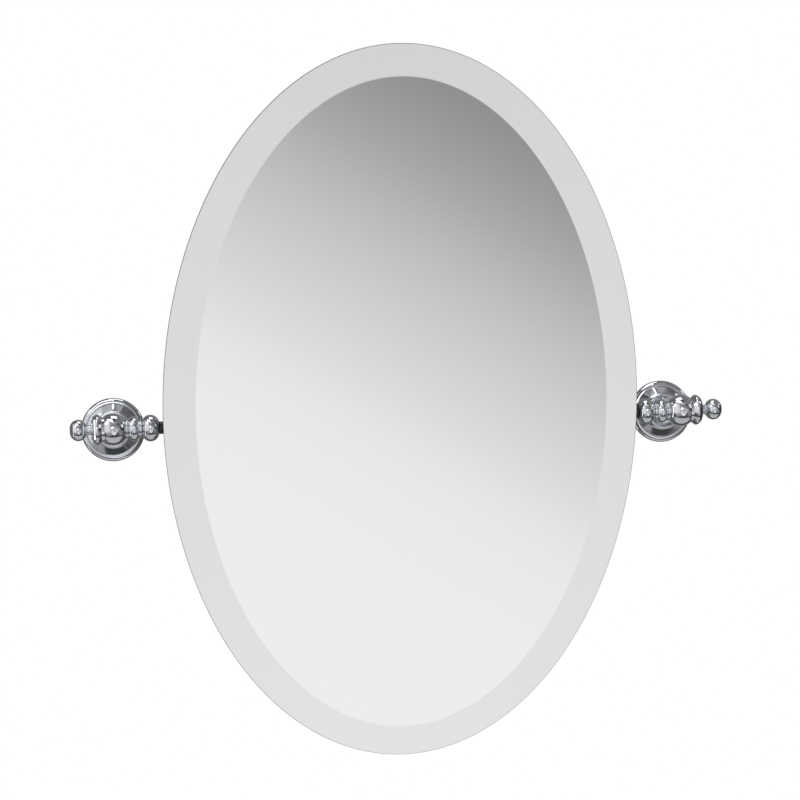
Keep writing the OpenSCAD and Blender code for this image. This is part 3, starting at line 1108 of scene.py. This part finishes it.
    def build_sleeve(self) -> None:
        """Builds the beaded sleeve between the mirror and the ball, with a band of painted shade on its neck next to
        the lug.
        """
        mid_edge, end_edge = self.mid_ring_r - self.ring_swell, self.end_ring_r - self.ring_swell
        outside = [(self.lug_end, self.neck_r), (self.neck_out, self.neck_r)]
        outside += arc(self.large_bead_r, self.neck_r, self.neck_out, self.large_bead_out)[1:]
        outside += arc(self.mid_ring_r, mid_edge, self.large_bead_out, self.mid_ring_out, steps=10)
        outside += arc(self.small_bead_r, mid_edge, self.mid_ring_out, self.small_bead_out)[1:]
        outside += arc(self.end_ring_r, end_edge, self.small_bead_out, self.sleeve_out, steps=10)
        inside = [(self.sleeve_out, PIVOT.bore_r), (self.lug_end, PIVOT.bore_r)]
        profile = eased([*outside, *inside], self.sleeve_ease, closed=True)
        # The neck next to the lug takes the near-black finish: painted shade where the chrome reflects dark
        # surroundings, not a real coating.
        shade_band_r, shade_band_end = self.neck_r + self.shade_band_margin, self.neck_out + self.shade_band_margin
        painted_shade_band = [radius < shade_band_r and station < shade_band_end for station, radius in profile]
        name, place = f"{self.side.label}_beaded_sleeve", LAYOUT.on_pivot(self.side)
        piece = turned(name, profile, place, CHROME, PAINTED_SHADE_NECK, closed=True, band=lambda k: int(painted_shade_band[k]))
        fit(piece, Body.MIRROR, f"{self.side.label}_sleeve")

    def build(self) -> None:
        """Builds the lug, screws and sleeve, and finishes the stud and the washer."""
        self.build_lug()
        self.build_screws()
        self.build_sleeve()
        for node in ("stud", "spring_washer"):
            carry_over(f"{self.side.label}_{node}", SCREW_STEEL)


@dataclass
class FinialKnob:
    """The clamp knob outside the ball: grip ring, step ring, beaded neck and finial."""

    side: Side
    collar_r: float = 10.3
    collar_w: float = 2.1
    grip_r: float = 12.9
    grip_w: float = 7.4
    grip_round: float = 2.2
    grip_slope: float = 35.0
    grip_blend: float = 3.0
    step_r: float = 8.2
    step_w: float = 1.2
    step_swell: float = 0.36
    neck_r: float = 3.3
    neck_l: float = 3.6
    neck_bead_r: float = 4.3
    finial_r: float = 8.9
    finial_half_l: float = 7.0
    finial_root: float = 165.0
    washer_r: float = 7.0
    washer_recess: float = 0.95
    ease: float = 0.12

    @property
    def body(self) -> Body:
        """The body that this knob is."""
        return Body.LEFT_KNOB if self.side is Side.LEFT else Body.RIGHT_KNOB

    def grip(self, start: float, stop: float) -> list[Point]:
        """Returns the outline of the grip ring: two sloping flanks that meet in a rounded crest.

        Args:
            start: station of its inner end.
            stop: station of its outer end.

        Returns:
            Points from start to stop.
        """
        turn = self.grip_slope - self.grip_blend
        centre = ((start + stop) / 2, self.grip_r - self.grip_round)
        crest = circle_arc(centre, self.grip_round, 90 + turn, 90 - turn, steps=20)
        edge = crest[0][1] - (crest[0][0] - start) * math.tan(math.radians(self.grip_slope))
        return [(start, edge), *crest, (stop, edge)]

    def outline(self) -> list[Point]:
        """Draws the knob's outline.

        Returns:
            Points from the bottom of its bore round to the tip of the finial.
        """
        grip_in = PIVOT.knob_in + self.collar_w
        step_in = grip_in + self.grip_w
        neck_in = step_in + self.step_w
        finial_in = neck_in + self.neck_l
        finial_mid = finial_in + self.finial_half_l
        bead_w = self.neck_l / 3
        bore_end = PIVOT.knob_in + PIVOT.knob_grip + PIVOT.end_gap
        recess_r, recess_end = self.washer_r + PIVOT.slide_gap, PIVOT.knob_in + self.washer_recess
        points = [(bore_end, 0.0), (bore_end, PIVOT.bore_r), (recess_end, PIVOT.bore_r), (recess_end, recess_r)]
        points += [(PIVOT.knob_in, recess_r), (PIVOT.knob_in, self.collar_r), (grip_in, self.collar_r)]
        points += self.grip(grip_in, step_in)
        points += arc(self.step_r, self.step_r - self.step_swell, step_in, neck_in, steps=12)
        for bead_in in (neck_in, finial_in - bead_w):
            points += arc(self.neck_bead_r, self.neck_r, bead_in, bead_in + bead_w, steps=12)
        centre = (finial_mid, self.finial_r - self.finial_half_l)
        points += circle_arc(centre, self.finial_half_l, self.finial_root, 0, steps=60)
        points.append((finial_mid + self.finial_half_l, 0.0))
        return points

    def build(self) -> None:
        """Builds the knob."""
        name, place = f"{self.side.label}_clamp_knob", LAYOUT.on_pivot(self.side)
        piece = turned(name, eased(self.outline(), self.ease), place, CHROME)
        fit(piece, self.body, f"{self.side.label}_finial_knob")


# ---------------------------------------------------------------------------
# Fixed bracket


@dataclass
class WallBracket:
    """One fixed bracket: wall plate, flange cover, grub screw, post, and the ball with its bushes."""

    side: Side
    ball_r: float = 13.4
    ball_seat: float = 12.0
    ball_ease: float = 0.25
    plate_r: float = 19.15
    plate_t: float = 3.0
    plate_ease: float = 0.3
    screw_pitch: float = 28.0
    screw_hole_r: float = 2.5
    sink_h: float = 0.4
    boss_r: float = 7.5
    boss_top: float = 10.0
    spigot_r: float = 4.0
    spigot_l: float = 7.5
    pin_l: float = 5.4
    foot_l: float = 6.5
    foot_bead_w: float = 3.0
    foot_bead_r: float = 8.7
    waist_foot_r: float = 6.7
    waist_taper_l: float = 7.5
    waist_flare_l: float = 2.0
    waist_flare_r: float = 5.6
    post_r: float = 4.6
    post_end_r: float = 6.2
    post_ring_w: float = 2.4
    post_ring_r: float = 7.3
    post_ease: float = 0.3
    post_corner: float = 8.0
    flange_r: float = 27.2
    rim_bead_w: float = 4.2
    rim_bead_h: float = 5.2
    groove_w: float = 0.7
    groove_h: float = 3.6
    cone_top_h: float = 6.4
    cone_gap: float = 0.1
    cone_lip_h: float = 7.0
    boss_crest_r: float = 14.2
    boss_bead_r: float = 1.9
    boss_h: float = 15.4
    dish_h: float = 13.4
    collar_h: float = 14.4
    collar_wall: float = 2.0
    collar_foot: float = 1.0
    cover_t: float = 1.3
    cover_ease: float = 0.2
    mouth_land: float = 0.4
    grub_r: float = 1.5
    grub_drop: float = 1.3

    @property
    def post_top(self) -> float:
        """Distance from the wall to the end of the post, where the ball sits."""
        return LAYOUT.standoff - self.ball_seat

    def finish_off(self, piece: Thing, node: str) -> None:
        """Puts one of the bracket's pieces in the model."""
        fit(piece, Body.WALL_BRACKETS, f"{self.side.label}_{node}")

    def build_ball(self) -> None:
        """Builds the pivot ball with its cross bore, its two recessed flats and its seat on the post."""
        flat_in, flat_out = -PIVOT.ball_flat_in, PIVOT.ball_flat_out
        floor_in, floor_out = flat_in + PIVOT.bush_flange_t, flat_out - PIVOT.bush_flange_t
        bore = PIVOT.bore_r + PIVOT.bush_wall + PIVOT.fixed_gap
        recess = PIVOT.bush_flange_r + PIVOT.fixed_gap
        first, last = (math.degrees(math.acos(flat / self.ball_r)) for flat in (flat_in, flat_out))
        outline = circle_arc((0.0, 0.0), self.ball_r, first, last, steps=72)
        outline += [(flat_out, recess), (floor_out, recess), (floor_out, bore)]
        outline += [(floor_in, bore), (floor_in, recess), (flat_in, recess)]
        profile, place = eased(outline, self.ball_ease, closed=True), LAYOUT.on_pivot(self.side)
        piece = turned(f"{self.side.label}_pivot_ball", profile, place, CHROME, steps=192, closed=True)
        on_wall, reach = LAYOUT.on_wall(self.side), self.ball_r
        low, high = (-reach, -reach, self.post_top - reach), (reach, reach, self.post_top)
        pin_end, pin_r = self.post_top + self.pin_l + PIVOT.end_gap, self.spigot_r + PIVOT.fixed_gap
        cutters = (block("seat", low, high, on_wall), peg(on_wall, pin_r, self.post_top - OVERRUN, pin_end))
        self.finish_off(carved(piece, cutters, CHROME), "ball")

    def build_post(self) -> None:
        """Builds the post, which runs from the wall plate through the cover to the ball."""
        foot_end = self.boss_top + self.foot_l
        waist = foot_end + self.foot_bead_w
        ring_start, ring_end = self.post_top - 2 * self.post_ring_w, self.post_top - self.post_ring_w
        points = [(self.boss_top - self.spigot_l, 0), (self.boss_top - self.spigot_l, self.spigot_r)]
        points += [(self.boss_top, self.spigot_r), (self.boss_top, self.boss_r), (foot_end, self.boss_r)]
        points += arc(self.foot_bead_r, self.boss_r, foot_end, waist, steps=16)[1:]
        points += [(waist, self.waist_foot_r), (waist + self.waist_taper_l, self.post_r)]
        points += [(ring_start - self.waist_flare_l, self.post_r), (ring_start, self.waist_flare_r)]
        points += arc(self.post_ring_r, self.post_end_r, ring_start, ring_end, steps=14)
        points += [(self.post_top, self.post_end_r), (self.post_top, self.spigot_r)]
        points += [(self.post_top + self.pin_l, self.spigot_r), (self.post_top + self.pin_l, 0)]
        profile = eased(points, self.post_ease, self.post_corner)
        name, place = f"{self.side.label}_bracket_post", LAYOUT.on_wall(self.side)
        self.finish_off(turned(name, profile, place, CHROME, steps=128), "post")

    def cover_outline(self) -> list[Point]:
        """Draws the section of the flange cover.

        Returns:
            Its points, outside first and then inside.
        """
        rim_in, boss_out = self.flange_r - self.rim_bead_w, self.boss_crest_r + self.boss_bead_r
        cone_foot, cone_top = rim_in - self.groove_w, boss_out + self.cone_gap
        bore = self.boss_r + PIVOT.slide_gap
        collar = bore + self.collar_wall
        collar_root, mouth = collar + self.collar_foot, cone_foot - self.mouth_land
        roof = self.cone_top_h - self.cover_t
        rim_middle = (self.rim_bead_h - self.rim_bead_w, rim_in)
        boss_middle = (self.boss_h - self.boss_bead_r, self.boss_crest_r)
        points = [(0.0, self.flange_r)]
        points += circle_arc(rim_middle, self.rim_bead_w, 90, 0, steps=30)
        points += [(self.groove_h, rim_in), (self.groove_h, cone_foot)]
        points += [(self.cone_top_h, cone_top), (self.cone_lip_h, boss_out)]
        points += circle_arc(boss_middle, self.boss_bead_r, 90, -90, steps=30)
        points += [(self.dish_h, self.boss_crest_r - self.boss_bead_r), (self.dish_h, collar)]
        points += [(self.collar_h, collar), (self.collar_h, bore)]
        points += [(roof - self.cover_t, bore), (roof - self.cover_t, collar_root), (roof, collar_root)]
        points += [(roof, cone_top - self.cover_t), (self.groove_h - self.cover_t, mouth), (0.0, mouth)]
        return points

    def build_cover(self) -> None:
        """Builds the flange cover with the hole for its grub screw."""
        profile, place = eased(self.cover_outline(), self.cover_ease, closed=True), LAYOUT.on_wall(self.side)
        piece = turned(f"{self.side.label}_stepped_cover", profile, place, CHROME, steps=224, closed=True)
        hole = peg(self.on_grub(), self.grub_r + PIVOT.fixed_gap, 0, self.flange_r, steps=48)
        self.finish_off(carved(piece, (hole,), CHROME), "flange_cover")

    def on_grub(self) -> Matrix:
        """Returns the frame of the grub screw: its Z points down from the post's axis."""
        height = self.boss_h - self.boss_bead_r - self.grub_drop * self.grub_r
        return LAYOUT.on_wall(self.side) @ shift(0, 0, height) @ about("X", 90)

    def build_wall_plate(self) -> None:
        """Builds the wall plate with its boss and two screw holes."""
        on_wall = LAYOUT.on_wall(self.side)
        floor = self.boss_top - self.spigot_l - PIVOT.end_gap
        bore = self.spigot_r + PIVOT.fixed_gap
        points = [(0, 0), (0, self.plate_r), (self.plate_t, self.plate_r), (self.plate_t, self.boss_r)]
        points += [(self.boss_top, self.boss_r), (self.boss_top, bore), (floor, bore), (floor, 0)]
        profile, name = eased(points, self.plate_ease), f"{self.side.label}_zinc_wall_plate"
        piece = turned(name, profile, on_wall, ZINC, steps=96)
        top, radius = self.plate_t + OVERRUN, self.screw_hole_r
        hole = [(-OVERRUN, 0), (-OVERRUN, radius), (self.plate_t - self.sink_h, radius)]
        hole += [(top, radius + OVERRUN + self.sink_h), (top, 0)]
        spots = (on_wall @ shift(0, sign * self.screw_pitch / 2, 0) for sign in (-1, 1))
        cutters = [turned("hole", hole, spot, steps=48) for spot in spots]
        self.finish_off(carved(piece, cutters, ZINC), "wall_plate")

    def build(self) -> None:
        """Builds the bracket's turned pieces, and finishes the bushes and the grub screw."""
        self.build_ball()
        self.build_post()
        self.build_cover()
        self.build_wall_plate()
        for node, finish in (("inner_bush", NYLON), ("outer_bush", NYLON), ("grub_screw", SCREW_STEEL)):
            carry_over(f"{self.side.label}_{node}", finish)


# ---------------------------------------------------------------------------
# Studio


def direction(azimuth: float, elevation: float) -> Vector:
    """Returns the unit vector that stands so many degrees from -Y towards +X, and above the horizon."""
    a, e = math.radians(azimuth), math.radians(elevation)
    return Vector((math.sin(a) * math.cos(e), -math.cos(a) * math.cos(e), math.sin(e)))


class CardShape(Enum):
    """The outline of a studio card."""

    ROUND = "an ellipse"
    STRIP = "a rectangle"


@dataclass(frozen=True)
class Card:
    """A card of the studio that metal and glass reflect, placed by angles in degrees.

    A card that is brighter at one end than at the other is given without a level.
    """

    azimuth: float
    elevation: float
    half_width: float
    half_height: float
    softness: float
    level: float = 1.0
    shape: CardShape = CardShape.ROUND

    def mask(self, sketch: NodeSketch, ray: Socket) -> Socket:
        """Draws how much of the card a ray sees, from 0 to 1.

        Args:
            sketch: the world's node tree.
            ray: the ray's direction.

        Returns:
            The mask's socket.
        """
        least_depth = 0.001
        ahead, across = direction(self.azimuth, self.elevation), direction(self.azimuth + 90, 0.0)
        depth = sketch.dot(ray, ahead)
        safe = sketch.math("MAXIMUM", depth, least_depth)
        offs = []
        for axis, half in ((across, self.half_width), (ahead.cross(across), self.half_height)):
            along = sketch.dot(ray, axis / math.tan(math.radians(half)))
            offs.append(sketch.math("DIVIDE", along, safe))
        if self.shape is CardShape.ROUND:
            squares = [sketch.math("MULTIPLY", off, off) for off in offs]
            reach = sketch.math("SQRT", sketch.math("ADD", *squares))
        else:
            reach = sketch.math("MAXIMUM", *[sketch.math("ABSOLUTE", off) for off in offs])
        inside = sketch.fit_range(reach, (1 - self.softness, 1 + self.softness), (1.0, 0.0), smooth=True)
        return sketch.math("MULTIPLY", inside, sketch.math("GREATER_THAN", depth, least_depth))


@dataclass(frozen=True)
class BentStrip:
    """A strip light at the left that bends away behind the wall.

    It stands wherever a flank of one slope, turned about X, mirrors the front of the studio, so such a
    flank shines evenly along its whole height.
    """

    slope: float = 35.0
    half_width: float = 0.036
    turn: float = 42.0
    level: float = 2.6
    side_blur: float = 0.4
    end_blur: float = 0.08

    def mask(self, sketch: NodeSketch, ray: Socket) -> Socket:
        """Draws how much of the strip a ray sees, from 0 to 1.

        Args:
            sketch: the world's node tree.
            ray: the ray's direction.

        Returns:
            The mask's socket.
        """
        slope, turn = math.radians(self.slope), math.radians(self.turn)
        across = sketch.dot(ray, Vector((1, 0, 0)))
        away = sketch.math("SUBTRACT", 1.0, sketch.dot(ray, Vector((0, 1, 0))))
        bend = sketch.math("MULTIPLY", away, 2 * math.sin(slope) ** 2)
        off = sketch.math("ABSOLUTE", sketch.math("SUBTRACT", sketch.math("MULTIPLY", across, across), bend))
        sides = ((1 - self.side_blur) * self.half_width, (1 + self.side_blur) * self.half_width)
        near = sketch.fit_range(off, sides, (1.0, 0.0), smooth=True)
        end = 2 * (math.cos(slope) * math.cos(turn)) ** 2
        inside = sketch.fit_range(away, ((1 - self.end_blur) * end, (1 + self.end_blur) * end), smooth=True)
        return sketch.math("MULTIPLY", sketch.math("MULTIPLY", near, inside), sketch.math("LESS_THAN", across, 0.0))


@dataclass(frozen=True)
class Lamp:
    """A soft lamp of the studio, aimed at the mirror. Sizes and places are in metres."""

    name: str
    azimuth: float
    elevation: float
    distance: float
    width: float
    height: float
    radiance: float

    def build(self) -> None:
        """Adds the lamp to the scene."""
        data = bpy.data.lights.new(self.name, "AREA")
        data.shape, data.size, data.size_y = "RECTANGLE", self.width, self.height
        data.energy = self.radiance * math.pi * self.width * self.height
        lamp = placed(self.name, data)
        toward = direction(self.azimuth, self.elevation)
        lamp.location = toward * self.distance + Vector((0, -LAYOUT.standoff * MM, 0))
        lamp.rotation_euler = (-toward).to_track_quat("-Z", "Y").to_euler()
        lamp.visible_camera = False
        log.info("lamp %s at %s", self.name, tuple(round(c, 2) for c in lamp.location))


@dataclass
class Studio:
    """Plain pale floor, soft lamps, and a procedural studio round the object for what metal and glass reflect."""

    floor_z: float = -0.75
    floor_radius: float = 6.0
    floor_rims: int = 8
    floor_flats: int = 96
    floor_paint: float = 0.86
    floor_glow: float = 0.3
    floor_fade: Pair = (1.1, 2.3)
    ambient: float = 0.62
    lamps: tuple[Lamp, ...] = (
        Lamp("overhead_softbox", 180.0, 84.0, 2.0, 1.0, 0.8, 1.6),
        Lamp("left_softbox", -62.0, 40.0, 2.6, 1.1, 1.1, 0.9),
        Lamp("right_fill", 70.0, 20.0, 2.6, 0.9, 0.9, 0.8),
    )
    sky: tuple[Pair, ...] = (
        (-1.6, 0.42),
        (-1.0, 0.52),
        (-0.92, 0.50),
        (-0.85, 0.06),
        (-0.70, 0.055),
        (-0.60, 0.09),
        (-0.50, 0.22),
        (-0.30, 0.30),
        (-0.10, 0.30),
        (0.10, 0.22),
        (0.55, 0.27),
        (0.80, 0.17),
        (1.0, 0.30),
    )
    sky_bend: float = 0.38
    cards: tuple[Card | BentStrip, ...] = (
        Card(92, 8, 42, 30, 0.35, 0.055),
        Card(-120, 10, 40, 70, 0.3, 0.15),
        Card(-6, -6, 46, 22, 0.35, 0.56),
        Card(-46, 10, 24, 34, 0.5, 0.85),
        Card(-35, -37, 18, 9, 0.4, 0.34, CardShape.STRIP),
        Card(44, 32, 13, 12, 0.5, 0.12),
        Card(22, 47, 9, 8, 0.5, 0.40),
        Card(62, -24, 17, 15, 0.4, 0.26),
        Card(40, -33, 10, 9, 0.5, 0.13),
        Card(22, 68, 9, 8, 0.3, 0.02),
        Card(-9, 42, 6, 5, 0.6, 0.26),
        Card(-18, 52, 12, 7, 0.3, 0.50),
        Card(-36, 37, 12, 8, 0.5, 0.76),
        Card(1.5, 49, 1.6, 5, 0.3, 2.5, CardShape.STRIP),
        Card(-42, 66, 20, 8, 0.25, 2.5),
        Card(99, 30, 6, 5, 0.2, 2.5),
        Card(7, -1, 13, 5, 0.5, 0.25),
        Card(-3, 11, 8, 7, 0.2, 3.0),
        BentStrip(),
    )
    ring: Card = Card(8.0, -23.3, 18.0, 20.5, 0.10)
    ring_heights: Pair = (-0.66, -0.08)
    ring_levels: Pair = (0.85, 0.72)
    window: Card = Card(8.0, -23.3, 9.3, 13.8, 0.16)
    window_axis: tuple[float, float, float] = (-0.459, 0.0, -0.888)
    window_stops: tuple[Pair, ...] = ((0.10, 0.20), (0.20, 0.465), (0.29, 0.811), (0.355, 0.931))

    def build_floor(self) -> None:
        """Builds a round pale floor that fades to the white background and keeps the object's shadow."""
        rims = [self.floor_radius * k / self.floor_rims for k in range(1, self.floor_rims + 1)]
        skin = Skin()
        middle = [Vector((0, 0, self.floor_z))]
        skin.add_loops([middle, *(circle(rim, self.floor_z, self.floor_flats) for rim in rims)])
        mesh = bpy.data.meshes.new("studio_floor")
        mesh.from_pydata([tuple(point) for point in skin.points], [], skin.faces)
        mesh.materials.append(self.floor_material())
        floor = placed("studio_floor", mesh)
        floor.visible_glossy = False
        floor.visible_transmission = False

    def floor_material(self) -> bpy.types.Material:
        """Makes the floor's material: pale and matt, white to the camera, and plain white far out.

        Returns:
            The material.
        """
        made = bpy.data.materials.new("pale_floor")
        made.use_nodes = True
        sketch = NodeSketch(made.node_tree)
        camera_ray = sketch.node("LightPath").outputs["Is Camera Ray"]
        paint = sketch.node("BsdfDiffuse", {"Color": grey(self.floor_paint)})
        strength = sketch.math("MULTIPLY", camera_ray, self.floor_glow)
        glow = sketch.node("Emission", {"Color": WHITE, "Strength": strength})
        near = sketch.node("AddShader", {0: paint.outputs[0], 1: glow.outputs[0]})
        place = sketch.node("TexCoord").outputs["Object"]
        level = sketch.node("VectorMath", {0: place, 1: (1, 1, 0)}, operation="MULTIPLY")
        distance = sketch.node("VectorMath", {0: level.outputs[0]}, operation="LENGTH").outputs["Value"]
        far = sketch.math("MULTIPLY", sketch.fit_range(distance, self.floor_fade, smooth=True), camera_ray)
        white = sketch.node("Emission")
        mix = sketch.node("MixShader", {0: far, 1: near.outputs[0], 2: white.outputs[0]})
        sketch.node("OutputMaterial", {0: mix.outputs[0]})
        return made

    def build_world(self) -> None:
        """Builds the world: white to the camera, plain grey to matt surfaces, the studio to metal and glass."""
        world = bpy.data.worlds.new("studio")
        bpy.context.scene.world = world
        world.use_nodes = True
        sketch = NodeSketch(world.node_tree)
        ray = sketch.node("TexCoord").outputs["Generated"]
        shown = self.sky_tone(sketch, ray)
        for card in self.cards:
            shown = sketch.blend(card.mask(sketch, ray), shown, grey(card.level))
        shown = sketch.blend(self.ring.mask(sketch, ray), shown, self.ring_tone(sketch, ray))
        shown = sketch.blend(self.window.mask(sketch, ray), shown, self.window_tone(sketch, ray))
        path = sketch.node("LightPath").outputs
        sharp_ray = sketch.math("MAXIMUM", path["Is Glossy Ray"], path["Is Transmission Ray"])
        tone = sketch.blend(sharp_ray, grey(self.ambient), shown)
        tone = sketch.blend(path["Is Camera Ray"], tone, WHITE)
        background = sketch.node("Background", {"Color": tone})
        sketch.node("OutputWorld", {0: background.outputs[0]})

    def sky_tone(self, sketch: NodeSketch, ray: Socket) -> Socket:
        """Draws the studio's level by height, with bands that rise towards both sides.

        Args:
            sketch: the world's node tree.
            ray: the ray's direction.

        Returns:
            The colour's socket.
        """
        across = sketch.dot(ray, Vector((1, 0, 0)))
        bend = sketch.math("MULTIPLY", sketch.math("MULTIPLY", across, across), self.sky_bend)
        height = sketch.math("SUBTRACT", sketch.dot(ray, Vector((0, 0, 1))), bend)
        low, high = self.sky[0][0], self.sky[-1][0]
        stops = [((place - low) / (high - low), level) for place, level in self.sky]
        return sketch.ramp(sketch.fit_range(height, (low, high)), stops, "LINEAR")

    def ring_tone(self, sketch: NodeSketch, ray: Socket) -> Socket:
        """Draws the pale surround that the bevel reflects: it brightens a little downwards."""
        return sketch.fit_range(sketch.dot(ray, Vector((0, 0, 1))), self.ring_heights, self.ring_levels)

    def window_tone(self, sketch: NodeSketch, ray: Socket) -> Socket:
        """Draws the soft sweep that the mirror's face reflects: it darkens towards the upper right."""
        return sketch.ramp(sketch.dot(ray, Vector(self.window_axis)), self.window_stops, "CARDINAL")

    def build(self) -> None:
        """Builds the floor, the world and the lamps, and sets the plain view transform."""
        bpy.context.scene.view_settings.view_transform = "Standard"
        self.build_floor()
        self.build_world()
        for lamp in self.lamps:
            lamp.build()


@dataclass(frozen=True)
class PhotoCamera:
    """The camera at the photograph's place. Places are in metres and angles in degrees."""

    place: tuple[float, float, float] = (-0.2373, -1.8583, -0.0077)
    yaw: float = 7.528
    pitch: float = 0.769
    roll: float = 1.962
    focal_px: float = 2143.8
    frame_px: float = 800.0
    sensor: float = 36.0

    def build(self) -> None:
        """Adds the camera and makes it the scene's."""
        yaw, pitch, roll = (math.radians(angle) for angle in (self.yaw, self.pitch, self.roll))
        ahead = Vector((math.sin(yaw) * math.cos(pitch), math.cos(yaw) * math.cos(pitch), math.sin(pitch)))
        level = Vector((math.cos(yaw), -math.sin(yaw), 0))
        upright = level.cross(ahead)
        right = math.cos(roll) * level - math.sin(roll) * upright
        up = math.sin(roll) * level + math.cos(roll) * upright
        data = bpy.data.cameras.new("photo_camera")
        data.sensor_width = self.sensor
        data.lens = self.focal_px * self.sensor / self.frame_px
        camera = placed("photo_camera", data)
        turn = Matrix((right, up, -ahead)).transposed()
        camera.matrix_world = Matrix.Translation(self.place) @ turn.to_4x4()
        bpy.context.scene.camera = camera
        log.info("camera lens %.1f mm", data.lens)


def main() -> None:
    """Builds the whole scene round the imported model."""
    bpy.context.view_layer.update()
    PhotoCamera().build()
    Studio().build()
    Mirror().build()
    for side in Side:
        Suspension(side).build()
        FinialKnob(side).build()
        WallBracket(side).build()


if __name__ == "__main__":
    main()
